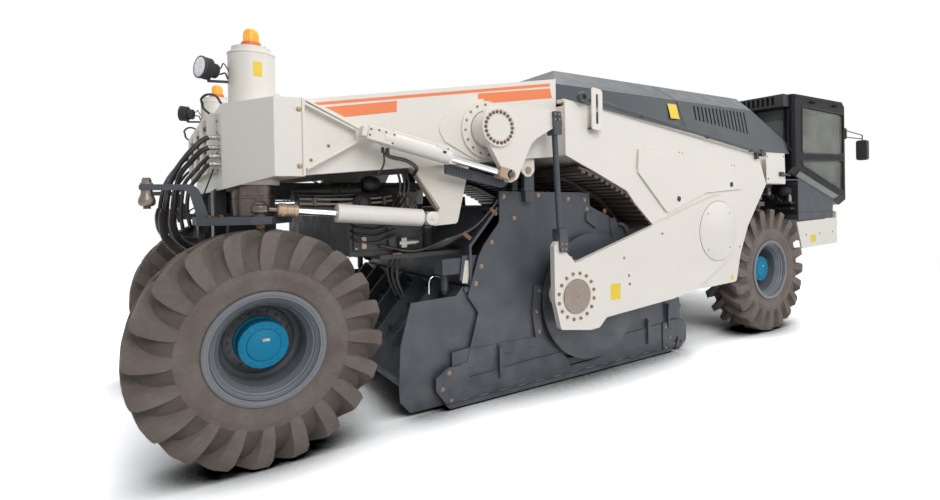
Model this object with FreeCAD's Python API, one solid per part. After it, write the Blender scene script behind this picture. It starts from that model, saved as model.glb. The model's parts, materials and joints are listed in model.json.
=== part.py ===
"""Cold recycler: a four-wheeled road recycler with a mid-mounted milling rotor.

Millimetres, +Z up, +X towards the cab, -Y the near side.  Places along X are
written as distances ahead of the rear axle; save() moves every piece so that
the origin is the middle of the machine's outline, on the ground.
"""
import FreeCAD
import Part

import math
import os

V = FreeCAD.Vector

# ---------------------------------------------------------------- driving sizes
WHEELBASE = 5632.0
TYRE_R = 750.0             # out to the lugs' tips
TYRE_W = 470.0
TYRE_OUTER_Y = 1455.0
TYRE_LUGS = 20
TYRE_BASE_R = 692.0        # tread between the lugs
BEAD_R = 335.0
RIM_R = 360.0
RIM_WALL = 14.0
RIM_FACE_Y = 1440.0        # outer flange
DISC_DEPTH = 320.0         # wheel disc behind the outer flange
DISC_T = 26.0
HUB_R = 144.0
HUB_LONG = 190.0
SPINDLE_R = 95.0
FRONT_REACH = WHEELBASE + 2368.0   # foremost point, ahead of the rear axle
RUN = 0.05                 # radial running clearance of pins and shafts
SIDE_GAP = 6.0             # side clearance of moving plates
SEAT = 0.3                 # gap of pieces that turn against each other

KINGPIN_Y = 1058.0
COLUMN_R = 145.0
COLUMN_BORE_R = 118.0
COLLAR_R = 126.0
LAMP_TURN = 0.45            # how far the work lamps look outwards
COLUMN_BOTTOM_Z = 1790.0
COLUMN_TOP_Z = 2677.0
FRONT_COLUMN_TOP_Z = 2620.0
CAP_R = 122.0
CAP_H = 42.0
LEG_TUBE_R = 110.0
LEG_TUBE_TOP_Z = 2350.0
STEER_PLATE_Z = 1530.0
STEER_PLATE_T = 50.0
LEG_OUTER_Y = 965.0
LEG_T = 140.0
LEG_HALF_X = 150.0
LEG_FOOT_Z = 560.0
STEER_ARM = 222.0          # ball joint outboard of the kingpin
BALL_Z = 1630.0
BALL_R = 30.0
TIE_REACH = 600.0          # tie rod behind the rear kingpins, ahead of the front ones
TIE_Z = 1690.0
TIE_R = 26.0
TIE_PIN_R = 20.0
TIE_ARM_Z = 1760.0
TIE_ARM_T = 36.0
TIE_ARM_W = 70.0
STEER_BASE_X = 1183.0      # base eye of the steering cylinder, ahead of the kingpin
STEER_BASE_Z = 1530.0
STEER_BARREL_R = 66.0
STEER_BARREL_L = 640.0
STEER_ROD_R = 27.0
STEER_PIN_R = 24.0
STEER_EYE_T = 56.0
BALL_PLAY = 9.0
BALL_OFFSET = 10.0         # the ball swings inboard of the cylinder's line on full lock

BOX_Z0 = 1836.0            # rear box across the columns
BOX_LOW_Z = 1763.0         # its underside falls towards the rear edge
BOX_Z1 = 2340.0
BOX_BACK_X = -192.0
BOX_FRONT_X = 235.0
BOX_CHAMFER_X = 54.0
BOX_SIDE_Y = 1490.0
BOX_BACK_Y = 1080.0
BOX_INNER_X = -120.0

BEAM_Y1 = 1360.0
BEAM_Y0 = 1210.0
BEAM_X1 = 2393.0
BEAM_BACK_Z = (1847.0, 2350.0)
BEAM_FRONT_Z = (2040.0, 2730.0)
DECK_T = 12.0

PLATE_Y1 = 1485.0
PLATE_Y0 = 1465.0
PLATE_X0 = 2393.0
FRONT_BOX = (WHEELBASE - 302.0, WHEELBASE + 418.0)
FRONT_BOX_Z = (1800.0, 2190.0)
FRONT_BOX_Y = 1400.0

ARM_Y1 = 1550.0
ARM_Y0 = 1492.0
ARM_PIVOT = (4490.0, 1325.0)
PIVOT_R = 120.0
ARM_DROP = 14.0            # degrees from travel height to full depth
HUB_POINT = (2440.0, 812.0)
LINK_LOW = (2290.0, 1255.0)
LINK_HIGH = (2240.0, 2355.0)
CRANK = (1660.0, 2230.0)
ROD_EYE = (1770.0, 1860.0)
LIFT_BASE = (680.0, 2120.0)
LINK_ROD_R = 26.0
LINK_CHEEK_T = 16.0
LINK_PIN_R = 30.0
CRANK_SHAFT_R = 90.0
CRANK_RING_R = 150.0
BEARING_R = 232.0
LIFT_EYE_R = 42.0
LIFT_BARREL_R = 56.0
LIFT_ROD_R = 28.0
LIFT_BARREL_L = 580.0
LIFT_Y = (ARM_Y0 + ARM_Y1) / 2

CHAMBER_Y1 = 1250.0
CHAMBER_T = 16.0
SKID_T = 45.0
SKID_BAND_T = 12.0
HOOKS = ((1815.0, 145.0, 446.0), (3622.0, 135.0, 404.0), (3936.0, 241.0, 532.0))
ROTOR_R = 730.0
ROTOR_TUBE_R = 560.0
ROTOR_HALF = 1190.0
SHAFT_R = 130.0
SLOT_HALF = 155.0
SEAL_R = 590.0
SEAL_CENTRE = (2836.0, 740.0)
SEAL_Y = (1300.0, 1318.0)

HOOD_Y_LOW = 1400.0
HOOD_Y_CREASE = 1300.0
HOOD_Y_RIDGE = 950.0
HOOD_Z_CREASE = 2706.0
HOOD_Z_RIDGE = 2925.0
HOOD_T = 20.0
HOOD_X0 = 2400.0
HOOD_REAR_SLOPE = ((2400.0, 2680.0), (2690.0, 2925.0))
LOUVRES = 15
HOOD_SEAT = ((2393.0, 2540.0), (WHEELBASE - 302.0, 2190.0))   # line that the hood's sides stand on

CAB_X0 = WHEELBASE + 553.0
CAB_X1 = CAB_X0 + 1395.0
CAB_Y_NEAR = 1450.0
CAB_Y_FAR = 350.0          # on the far side of the centre line
CAB_TOP_Z = 2960.0
CAB_BACK_Z = 1950.0
CAB_FRONT_Z = 1508.0
CAB_WALL = 50.0
CAB_SILL_DROP = 87.0       # slanted strip along the foot of the near wall
CAB_CORNER_R = 55.0
DECK_Z = 1760.0             # deck beside the cab door
STEP_Z = (455.0, 745.0, 1035.0, 1325.0)
GLASS_T = 8.0
DOOR_GAP = 6.0
DOOR_X = (CAB_X0 + 235.0, CAB_X0 + 1055.0)
DOOR_TOP_Z = CAB_TOP_Z - 100.0
DOOR_HINGE_R = 18.0
DOOR_HINGE_Z = (2150.0, DOOR_TOP_Z - 160.0)

GATE_HINGE_REAR = (1530.0, 930.0)
GATE_HINGE_FRONT = (3960.0, 700.0)
GATE_HINGE_R = 22.0
GATE_PLAY = 19.0            # between each gate and the housing's side plates
GATE_HALF = CHAMBER_Y1 - CHAMBER_T - GATE_PLAY
GATE_T = 25.0

SERVICE_TOP_Z = 2130.0     # service door's hinge line
SERVICE_T = 22.0
SERVICE_PIN_R = 10.0

TOW_EYE = (2562.0, 2556.0)
MIRROR_Y = 1500.0
MIRROR_W = 150.0
MIRROR_H = 290.0
MIRROR_T = 70.0

PARTS = "parts"
SHIFT_X = -(FRONT_REACH - TYRE_R) / 2.0


# ---------------------------------------------------------------- shape helpers
def box(x0, x1, y0, y1, z0, z1):
    """A block between two corners."""
    return Part.makeBox(x1 - x0, y1 - y0, z1 - z0, V(x0, y0, z0))


def rod(start, axis, radius, length):
    """A round bar from start along axis."""
    return Part.makeCylinder(radius, length, V(*start), V(*axis))


def rod_y(x, z, radius, y0, y1):
    """A round bar across the machine."""
    return Part.makeCylinder(radius, y1 - y0, V(x, y0, z), V(0, 1, 0))


def between(p, q, radius):
    """A round bar from point p to point q."""
    p, q = V(*p), V(*q)
    return Part.makeCylinder(radius, (q - p).Length, p, q - p)


def outline(points):
    """A closed 2-D path as (x, z) pairs, each with an optional corner radius."""
    corners = [tuple(p) + (0.0,) * (3 - len(p)) for p in points]
    count = len(corners)
    starts, ends = [], []
    for i, (x, z, r) in enumerate(corners):
        before, after = corners[i - 1], corners[(i + 1) % count]
        here = V(x, 0, z)
        a = (V(before[0], 0, before[1]) - here).normalize()
        b = (V(after[0], 0, after[1]) - here).normalize()
        if r <= 0:
            starts.append(here)
            ends.append(here)
            continue
        half = a.getAngle(b) / 2.0
        reach = r / math.tan(half)
        starts.append(here + a * reach)
        ends.append(here + b * reach)
    edges = []
    for i, (x, z, r) in enumerate(corners):
        if r > 0:
            here = V(x, 0, z)
            to_centre = (starts[i] + ends[i]) * 0.5 - here
            away = (here + to_centre.normalize() * (math.hypot(r, (starts[i] - here).Length) - r))
            edges.append(Part.Arc(starts[i], away, ends[i]).toShape())
        following = starts[(i + 1) % count]
        if (following - ends[i]).Length > 1e-6:
            edges.append(Part.LineSegment(ends[i], following).toShape())
    return Part.Wire(edges)


def plate(points, y0, y1):
    """A flat plate: an outline in XZ, from y0 to y1."""
    face = Part.Face(outline(points))
    face.translate(V(0, y0, 0))
    return face.extrude(V(0, y1 - y0, 0))


def slab(points, z0, z1):
    """A flat slab: an outline in XY, each corner with an optional radius, from z0 to z1."""
    face = Part.Face(outline(points))
    face.rotate(V(0, 0, 0), V(1, 0, 0), -90)
    face.translate(V(0, 0, z0))
    return face.extrude(V(0, 0, z1 - z0))


def profile_x(points, x0, x1):
    """A section in YZ, run from x0 to x1."""
    wire = Part.makePolygon([V(x0, y, z) for y, z in points + [points[0]]])
    return Part.Face(wire).extrude(V(x1 - x0, 0, 0))


def fuse(shapes):
    """One solid from pieces that touch."""
    whole = shapes[0]
    for piece in shapes[1:]:
        whole = whole.fuse(piece)
    return whole.removeSplitter()


def mirrored(shape):
    """The same piece on the other side."""
    return shape.mirror(V(0, 0, 0), V(0, 1, 0))


def pair(shape):
    """A piece and its mirror image."""
    return [shape, mirrored(shape)]


def save(name, shapes):
    """Move the solids to the shared origin and write one STEP file."""
    solids = []
    for shape in shapes if isinstance(shapes, list) else [shapes]:
        solids += shape.Solids
    whole = solids[0] if len(solids) == 1 else Part.makeCompound(solids)
    whole = whole.copy()
    whole.translate(V(SHIFT_X, 0, 0))
    whole.exportStep(os.path.join(PARTS, name + ".step"))
    print(name, len(solids), "%.1f dm3" % (whole.Volume / 1e6), "ok" if whole.isValid() else "BAD")


# ---------------------------------------------------------------- wheels and legs
def tyre_shell():
    """A tyre about the origin in flat facets, with a row of lugs on each half of its tread."""
    half = TYRE_W / 2
    pitch = 2 * math.pi / TYRE_LUGS
    # across the tread: y, radius between lugs, radius on a lug, turn of the lug, its width
    rows = [(0.0, TYRE_BASE_R + 6, TYRE_R, 0.21, 0.42), (half - 70, TYRE_BASE_R, TYRE_R, 0.75, 0.46),
            (half - 8, TYRE_BASE_R - 42, TYRE_R - 42, 1.05, 0.52), (half - 8, 588, 588, 1.15, 0.40),
            (half - 21, 400, 400, 1.15, 0.45), (160.0, BEAD_R + 1.0, BEAD_R + 1.0, 1.15, 0.50)]
    faces = []

    def face(*points):
        for i in range(1, len(points) - 1):
            three = [points[0], points[i], points[i + 1]]
            faces.append(Part.Face(Part.makePolygon(three + [three[0]])))

    def spot(row, step, edge, way, lug):
        """Edge 0 or 1 of the lug at this step, on the tread or on the lug."""
        y, low, high, turn, wide = rows[row]
        start = pitch * (step + (0.5 if way > 0 else 0.0))
        a = start + pitch * (turn + wide * (edge - 0.5))
        r = high if lug else low
        push = 8.0 if (lug and row == 2) else 0.0
        return V(r * math.cos(a), way * (y + push), r * math.sin(a))
    for way in (-1, 1):
        for n in range(TYRE_LUGS):
            for i in range(5):
                a0, a1 = spot(i, n, 0, way, False), spot(i, n, 1, way, False)
                b0, b1 = spot(i + 1, n, 0, way, False), spot(i + 1, n, 1, way, False)
                nx_a, nx_b = spot(i, n + 1, 0, way, False), spot(i + 1, n + 1, 0, way, False)
                if i == 0:      # the middle line also carries the feet of the other half's lug
                    m = n if way < 0 else n + 1
                    c0, c1 = spot(0, m, 0, -way, False), spot(0, m, 1, -way, False)
                    face(a1, c0, b1)
                    face(c0, c1, b1)
                    face(c1, nx_a, nx_b)
                    face(c1, nx_b, b1)
                else:
                    face(a1, nx_a, nx_b, b1)
                if i < 3:
                    t0, t1 = spot(i, n, 0, way, True), spot(i, n, 1, way, True)
                    u0, u1 = spot(i + 1, n, 0, way, i < 2), spot(i + 1, n, 1, way, i < 2)
                    face(t0, t1, u1, u0)
                    if i < 2:
                        face(a0, t0, u0, b0)
                        face(a1, b1, u1, t1)
                    else:
                        face(a0, t0, u0)
                        face(a1, u1, t1)
                    if i == 0:
                        face(a0, a1, t1, t0)
                else:
                    face(a0, a1, b1, b0)
    # the bore, zipped between the two bead rings
    left = sorted((math.atan2(q.z, q.x) % (2 * math.pi), q) for n in range(TYRE_LUGS)
                  for q in (spot(5, n, 0, -1, False), spot(5, n, 1, -1, False)))
    right = sorted((math.atan2(q.z, q.x) % (2 * math.pi), q) for n in range(TYRE_LUGS)
                   for q in (spot(5, n, 0, 1, False), spot(5, n, 1, 1, False)))
    i = j = 0
    while i < len(left) or j < len(right):
        a, b = left[i % len(left)], right[j % len(right)]
        a2, b2 = left[(i + 1) % len(left)], right[(j + 1) % len(right)]
        ang_a = a2[0] + 2 * math.pi * ((i + 1) // len(left))
        ang_b = b2[0] + 2 * math.pi * ((j + 1) // len(right))
        if j >= len(right) or (i < len(left) and ang_a <= ang_b):
            face(a[1], a2[1], b[1])
            i += 1
        else:
            face(a[1], b2[1], b[1])
            j += 1
    shell = Part.Shell(faces)
    shell.sewShape()
    solid = Part.Solid(shell)
    if solid.Volume < 0:
        solid.reverse()
    return solid


def tyre(x, side, about):
    """One tyre in its place."""
    ring = about.copy()
    ring.translate(V(x, TYRE_OUTER_Y - TYRE_W / 2, TYRE_R))
    return ring if side > 0 else mirrored(ring)


def wheel(x, side):
    """Rim, disc and hub of one wheel."""
    y1 = RIM_FACE_Y
    y0 = TYRE_OUTER_Y - TYRE_W + 60
    disc_y = y1 - DISC_DEPTH
    seat = BEAD_R - SEAT
    rim = rod_y(x, TYRE_R, seat, y0, y1 - RIM_WALL).fuse(rod_y(x, TYRE_R, RIM_R, y1 - RIM_WALL, y1))
    rim = rim.cut(rod_y(x, TYRE_R, seat - RIM_WALL, y0 - 1, y1 + 1))
    disc = rod_y(x, TYRE_R, seat - RIM_WALL / 2, disc_y - DISC_T, disc_y)
    hub = rod_y(x, TYRE_R, HUB_R, disc_y - DISC_T, disc_y + HUB_LONG)
    whole = fuse([rim, disc, hub])
    whole = whole.cut(rod_y(x, TYRE_R, SPINDLE_R + RUN, y0 - 1, disc_y + HUB_LONG / 2))
    return whole if side > 0 else mirrored(whole)


def leg(side, way):
    """Inner column, steering plate and the leg that carries the wheel's spindle.

    Built about a kingpin at X = 0; way is +1 at the rear axle, -1 at the front.
    """
    tube = rod((0, KINGPIN_Y, STEER_PLATE_Z), (0, 0, 1), LEG_TUBE_R, LEG_TUBE_TOP_Z - STEER_PLATE_Z)
    collar = rod((0, KINGPIN_Y, STEER_PLATE_Z), (0, 0, 1), COLLAR_R, COLUMN_BOTTOM_Z - SEAT - STEER_PLATE_Z)
    y0 = LEG_OUTER_Y - LEG_T
    low = STEER_PLATE_Z
    top = low + STEER_PLATE_T
    nose = KINGPIN_Y + STEER_ARM + 45
    steer = slab([(-350, y0), (240, y0), (240, KINGPIN_Y), (60, nose), (-60, nose), (-350, KINGPIN_Y + 100)],
                 low, top)
    post = plate([(-LEG_HALF_X, low), (LEG_HALF_X, low), (LEG_HALF_X, LEG_FOOT_Z, 90),
                  (-LEG_HALF_X, LEG_FOOT_Z, 90)], y0, LEG_OUTER_Y)
    disc_y = RIM_FACE_Y - DISC_DEPTH
    spindle = rod_y(0, TYRE_R, SPINDLE_R, LEG_OUTER_Y, disc_y + HUB_LONG / 2 - SEAT)
    flange = rod_y(0, TYRE_R, HUB_R + 40, LEG_OUTER_Y, disc_y - DISC_T - SEAT)
    ball = rod((0, KINGPIN_Y + STEER_ARM, top), (0, 0, 1), STEER_PIN_R, BALL_Z + STEER_EYE_T / 2 + 10 - top)
    seat = rod((0, KINGPIN_Y + STEER_ARM, top), (0, 0, 1), STEER_PIN_R + 12,
               BALL_Z - STEER_EYE_T / 2 - BALL_PLAY - top)
    arm_y0, arm_y1 = KINGPIN_Y - TIE_ARM_W / 2, KINGPIN_Y + TIE_ARM_W / 2
    arm_top = TIE_ARM_Z + TIE_ARM_T
    track_arm = plate([(-320, low + 4), (-335, top), (-380, TIE_ARM_Z, 50), (-TIE_REACH - 40, TIE_ARM_Z, 12),
                       (-TIE_REACH - 40, arm_top, 12), (-335, arm_top, 70), (-270, top), (-260, low + 4)],
                      arm_y0, arm_y1)
    pin = rod((-TIE_REACH, KINGPIN_Y, TIE_Z - TIE_R - 20), (0, 0, 1), TIE_PIN_R, arm_top + 40 - TIE_Z + TIE_R + 20)
    whole = fuse([tube, collar, steer, post, flange, spindle, ball, seat, track_arm, pin])
    if way < 0:
        whole = whole.mirror(V(0, 0, 0), V(1, 0, 0))
        whole.translate(V(WHEELBASE, 0, 0))
    return whole if side > 0 else mirrored(whole)


def tie_rod(way):
    """The rod that joins the two steering legs of an axle."""
    bar = rod_y(-TIE_REACH, TIE_Z, TIE_R, -KINGPIN_Y, KINGPIN_Y)
    eyes = [rod((-TIE_REACH, s * KINGPIN_Y, TIE_Z - TIE_R - 6), (0, 0, 1), 44, TIE_ARM_Z - SEAT - TIE_Z + TIE_R + 6)
            for s in (-1, 1)]
    whole = fuse([bar] + eyes)
    for s in (-1, 1):
        whole = whole.cut(rod((-TIE_REACH, s * KINGPIN_Y, TIE_Z - 200), (0, 0, 1), TIE_PIN_R + RUN, 400))
    if way < 0:
        whole = whole.mirror(V(0, 0, 0), V(1, 0, 0))
        whole.translate(V(WHEELBASE, 0, 0))
    return whole


def steering_cylinder(side, way):
    """Barrel and rod of one steering cylinder, from its base eye to the leg's ball joint."""
    y = KINGPIN_Y + STEER_ARM
    rise = BALL_Z - STEER_BASE_Z
    length = math.hypot(STEER_BASE_X, rise)
    tilt = math.degrees(math.atan2(rise, STEER_BASE_X))

    def place(sloping, upright, bore):
        sloping.rotate(V(0, 0, 0), V(0, 1, 0), tilt)
        shape = sloping.fuse(upright).removeSplitter().cut(bore)
        shape.translate(V(STEER_BASE_X, y, STEER_BASE_Z))
        if way < 0:
            shape = shape.mirror(V(0, 0, 0), V(1, 0, 0))
            shape.translate(V(WHEELBASE, 0, 0))
        return shape if side > 0 else mirrored(shape)
    barrel = rod((-62, 0, 0), (-1, 0, 0), STEER_BARREL_R, STEER_BARREL_L)
    neck = box(-70, 0, -30, 30, -STEER_EYE_T / 2, STEER_EYE_T / 2)
    eye = rod((0, 0, -STEER_EYE_T / 2), (0, 0, 1), 46, STEER_EYE_T).fuse(neck)
    barrel = barrel.cut(rod((-110, 0, 0), (-1, 0, 0), STEER_ROD_R + RUN, STEER_BARREL_L))
    barrel = place(barrel, eye, rod((0, 0, -100), (0, 0, 1), STEER_PIN_R + RUN, 200))
    bar = rod((-225, 0, 0), (-1, 0, 0), STEER_ROD_R, length - 225 - 50)
    collar = rod((-length + 190, 0, 0), (-1, 0, 0), 34, 130)
    tip = rod((-STEER_BASE_X, 0, rise - STEER_EYE_T / 2), (0, 0, 1), 62, STEER_EYE_T)
    bore = rod((-STEER_BASE_X, -BALL_OFFSET, rise - 100), (0, 0, 1), 40, 200)
    bar = place(fuse([bar, collar]), tip, bore)
    return barrel, bar


def wheels():
    """All four wheels with their tyres and legs."""
    about = tyre_shell()
    for end, x, way in (("rear", 0.0, 1), ("front", WHEELBASE, -1)):
        save("tie_rod_%s" % end, tie_rod(way))
        for side_name, side in (("near", -1), ("far", 1)):
            save("tyre_%s_%s" % (end, side_name), tyre(x, side, about))
            save("wheel_%s_%s" % (end, side_name), wheel(x, side))
            save("leg_%s_%s" % (end, side_name), leg(side, way))
            barrel, bar = steering_cylinder(side, way)
            save("steer_barrel_%s_%s" % (end, side_name), barrel)
            save("steer_rod_%s_%s" % (end, side_name), bar)


def columns():
    """Lift column housings with their caps."""
    solids = []
    for x, top in ((0.0, COLUMN_TOP_Z), (WHEELBASE, FRONT_COLUMN_TOP_Z)):
        shell = rod((x, KINGPIN_Y, COLUMN_BOTTOM_Z), (0, 0, 1), COLUMN_R, top - COLUMN_BOTTOM_Z)
        cap = rod((x, KINGPIN_Y, top), (0, 0, 1), CAP_R, CAP_H)
        bore = rod((x, KINGPIN_Y, COLUMN_BOTTOM_Z - 1), (0, 0, 1), LEG_TUBE_R + RUN,
                   LEG_TUBE_TOP_Z + 20 - COLUMN_BOTTOM_Z)
        solids += pair(shell.fuse(cap).removeSplitter().cut(bore))
    save("lift_columns", solids)


# ---------------------------------------------------------------- frame
def rear_frame():
    """The rear box across both columns, with the two sloping beams and their deck."""
    ring = [(BOX_FRONT_X, -BOX_SIDE_Y), (BOX_CHAMFER_X, -BOX_SIDE_Y), (BOX_BACK_X, -BOX_BACK_Y),
            (BOX_BACK_X, BOX_BACK_Y), (BOX_CHAMFER_X, BOX_SIDE_Y), (BOX_FRONT_X, BOX_SIDE_Y)]
    whole = slab(ring, BOX_LOW_Z, BOX_Z1).common(plate([
        (BOX_BACK_X - 1, BOX_LOW_Z), (BOX_CHAMFER_X, BOX_Z0), (BOX_FRONT_X + 1, BOX_Z0), (BOX_FRONT_X + 1, BOX_Z1),
        (BOX_BACK_X - 1, BOX_Z1 - 14)], -BOX_SIDE_Y - 1, BOX_SIDE_Y + 1))
    for side in (-1, 1):
        whole = whole.cut(rod((0, side * KINGPIN_Y, BOX_LOW_Z - 1), (0, 0, 1), COLUMN_R, BOX_Z1 - BOX_LOW_Z + 2))
    (low0, high0), (low1, high1) = BEAM_BACK_Z, BEAM_FRONT_Z
    beam = plate([(BOX_FRONT_X, low0), (BEAM_X1, low1), (BEAM_X1, high1), (BOX_FRONT_X, high0)],
                 BEAM_Y0, BEAM_Y1)
    deck = plate([(BOX_FRONT_X, high0 - DECK_T), (BEAM_X1, high1 - DECK_T), (BEAM_X1, high1), (BOX_FRONT_X, high0)],
                 -BEAM_Y0, BEAM_Y0)
    cx, cz = CRANK
    flange = plate([(cx - 423, cz - 15, 60), (cx - 360, cz + 90, 80), (cx - 160, cz + 240, 80), (cx - 20, cz + 250),
                    (cx + 40, cz - 240), (cx - 100, cz - 245, 60), (cx - 370, cz - 110, 60)], BEAM_Y1 - 1, BEAM_Y1 + 12)
    flange = flange.fuse(rod_y(cx, cz, BEARING_R, BEAM_Y1 - 1, BEAM_Y1 + 34))
    flange = flange.cut(rod_y(cx, cz, CRANK_RING_R + SIDE_GAP, BEAM_Y1, BEAM_Y1 + 40))
    whole = fuse([whole] + pair(beam) + pair(flange) + [deck])
    shaft = rod_y(CRANK[0], CRANK[1], CRANK_SHAFT_R + RUN, -BEAM_Y1 - 1, BEAM_Y1 + 1)
    return whole.cut(shaft)


def lift_brackets():
    """Flanged gussets that run from the rear box out to the lift cylinders' base pins."""
    x0 = BOX_FRONT_X
    px, pz = LIFT_BASE
    y1 = BEAM_Y1 + 60
    high, low = BEAM_BACK_Z[1] - 12, BEAM_BACK_Z[0] + 30
    web = plate([(x0, high), (x0, low), (px - 70, pz - 30), (px + 20, pz - 60, 30),
                 (px + 60, pz + 20, 40), (px - 70, pz + 45)], BEAM_Y1, y1)
    pocket = plate([(x0 - 1, high - 16), (x0 - 1, low + 17), (px - 90, pz - 24), (px - 90, pz + 38)],
                   BEAM_Y1 + 10, y1 + 1)
    boss = rod_y(px, pz, LINK_PIN_R + 15, y1, LIFT_Y - LIFT_EYE_R - SEAT)
    pin = rod_y(px, pz, LINK_PIN_R, y1, LIFT_Y + LIFT_EYE_R + 6)
    return pair(fuse([web.cut(pocket), boss, pin]))


def fore(x):
    """A place between the rotor housing and the front axle, carried along with the axle."""
    return PLATE_X0 + (x - PLATE_X0) * (WHEELBASE - PLATE_X0) / (5632.0 - PLATE_X0)


def front_plate():
    """Side plate of the front frame with its arch over the rotor housing."""
    return plate([
        (PLATE_X0, 2044), (PLATE_X0, 2525), (fore(5333), 2125), (fore(5485), 1796), (fore(5100), 1312, 200),
        (fore(4945), 1000, 150), (fore(4862), 690, 40), (fore(4289), 674), (fore(4031), 686), (fore(3996), 770),
        (fore(3511), 1370), (fore(3241), 1609, 150), (fore(3139), 1726, 60), (fore(2748), 1898, 100)],
        PLATE_Y0, PLATE_Y1)


def front_frame():
    """Side plates, cross walls, engine deck and the box that holds the front columns."""
    x0, x1 = FRONT_BOX
    z0, z1 = FRONT_BOX_Z
    ring = box(x0, x1, -FRONT_BOX_Y, FRONT_BOX_Y, z0, z1)
    for side in (-1, 1):
        ring = ring.cut(rod((WHEELBASE, side * KINGPIN_Y, z0 - 1), (0, 0, 1), COLUMN_R, z1 - z0 + 2))
    rear_wall = box(PLATE_X0, PLATE_X0 + 30, -PLATE_Y0, PLATE_Y0, 2044, 2480)
    deck = plate([(PLATE_X0 + 30, 2044), (PLATE_X0 + 30, 2074), (fore(2760), 1980), (x0, 1980), (x0, 1950),
                  (fore(2740), 1950)], -PLATE_Y0, PLATE_Y0)
    (sx0, sz0), (sx1, sz1) = HOOD_SEAT
    seat = plate([(sx0, sz0), (sx1, sz1), (sx1, sz1 - 90), (sx0, sz0 - 30)], HOOD_Y_LOW - 30, PLATE_Y0)
    tie = box(x0 - 60, x0 + 20, FRONT_BOX_Y, PLATE_Y0, 1850, 2150)
    pivot = rod_y(ARM_PIVOT[0], ARM_PIVOT[1], PIVOT_R, -ARM_Y1 + 10, ARM_Y1 - 10)
    return fuse(pair(front_plate()) + [ring, rear_wall, deck] + pair(seat) + pair(tie) + [pivot])


# ---------------------------------------------------------------- hood and engine
def hood_block(shrink):
    """The hood's outer shape, shrunk by its sheet for the inside."""
    y_low, y_crease, y_ridge = HOOD_Y_LOW - shrink, HOOD_Y_CREASE - shrink, HOOD_Y_RIDGE - shrink / 2
    z_crease, z_ridge = HOOD_Z_CREASE - shrink / 2, HOOD_Z_RIDGE - shrink
    low = FRONT_BOX_Z[1]
    section = [(-y_low, low), (-y_crease, z_crease), (-y_ridge, z_ridge), (y_ridge, z_ridge),
               (y_crease, z_crease), (y_low, low)]
    x0, x1 = HOOD_X0 + shrink, CAB_X0 - 25 - shrink
    block = profile_x(section, x0, x1)
    (sx0, sz0), (sx1, sz1) = HOOD_SEAT
    below = plate([(sx0 - 100, sz0 + 100 * (sz0 - sz1) / (sx1 - sx0)), (sx1, sz1), (x1 + 100, sz1),
                   (x1 + 100, low - 500), (sx0 - 100, low - 500)], -2000, 2000)
    if shrink == 0:
        block = block.cut(below)
    # sloping rear end
    (rx0, rz0), (rx1, rz1) = HOOD_REAR_SLOPE
    block = block.cut(plate([(rx0 - 300 + shrink, rz0 - 300 * (rz1 - rz0) / (rx1 - rx0)),
                             (rx1 + 300 + shrink, rz1 + 300 * (rz1 - rz0) / (rx1 - rx0)), (rx0 - 300, rz1 + 400)],
                            -2000, 2000))
    # sloping front corners: each plane falls forwards and outwards
    for side in (-1, 1):
        corner = V(fore(5490), side * HOOD_Y_CREASE, HOOD_Z_CREASE)
        fall = V(0.47, side * 0.9, 1.0).normalize()
        cutter = Part.makeBox(3000, 6000, 1500, V(-1500, -3000, 0))
        cutter.Placement = FreeCAD.Placement(corner - fall * shrink, FreeCAD.Rotation(V(0, 0, 1), fall))
        block = block.cut(cutter)
    top = V(fore(5750), 0, HOOD_Z_RIDGE)
    fall = V(0.47, 0, 1.0).normalize()
    cutter = Part.makeBox(3000, 6000, 1500, V(-1500, -3000, 0))
    cutter.Placement = FreeCAD.Placement(top - fall * shrink, FreeCAD.Rotation(V(0, 0, 1), fall))
    return block.cut(cutter)


def hood():
    """Sheet cover over the engine, with a crease and a ridge along both sides and upright louvres."""
    sheet = hood_block(0).cut(hood_block(HOOD_T))
    x0, x1 = fore(4376), fore(5312)
    slots = []
    for i in range(LOUVRES):
        x = x0 + (x1 - x0) * i / (LOUVRES - 1)
        slots.append(box(x - 13, x + 13, -HOOD_Y_LOW - 20, -HOOD_Y_CREASE + 50, 2508 - 103 * i / (LOUVRES - 1), 2668))
    return sheet.cut(Part.makeCompound(pair(Part.makeCompound(slots))))


# ---------------------------------------------------------------- rotor group
def arm_outline():
    """Side view of a rotor arm."""
    return [(2200, 1260), (2200, 800), (2262, 545, 30), (2590, 495, 40), (2700, 500, 40), (2790, 580, 40),
            (3700, 640), (4080, 700), (4600, 965, 250), (4860, 1150, 250), (4880, 1500, 250), (4600, 1690, 250),
            (4380, 1650, 200), (3840, 1500), (2400, 1090, 60), (2395, 1140, 40), (2330, 1200), (2300, 1300, 25),
            (2230, 1300, 25)]


def rotor_arms():
    """The two swing arms with the hub housings that hold the rotor's shaft."""
    x, z = HUB_POINT
    arm = plate(arm_outline(), ARM_Y0, ARM_Y1)
    housing = rod_y(x, z, SHAFT_R, ROTOR_HALF + SEAT, ARM_Y0)
    arm = fuse([arm, housing])
    arm = arm.cut(rod_y(ARM_PIVOT[0], ARM_PIVOT[1], PIVOT_R + RUN, ARM_Y0 - 1, ARM_Y1 - 10 + SEAT))
    return pair(arm)


def seal_discs():
    """Guard discs that ride with the arms and cover the slots of the housing."""
    disc = rod_y(SEAL_CENTRE[0], SEAL_CENTRE[1], SEAL_R, SEAL_Y[0], SEAL_Y[1])
    hole = rod_y(HUB_POINT[0], HUB_POINT[1], SHAFT_R, SEAL_Y[0] - 1, SEAL_Y[1] + 1)
    return pair(disc.cut(hole))


def rotor():
    """The milling rotor: its tube and end rings, out to the picks' tips."""
    x, z = HUB_POINT
    tube = rod_y(x, z, ROTOR_R, -ROTOR_HALF, ROTOR_HALF)
    return tube


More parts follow.
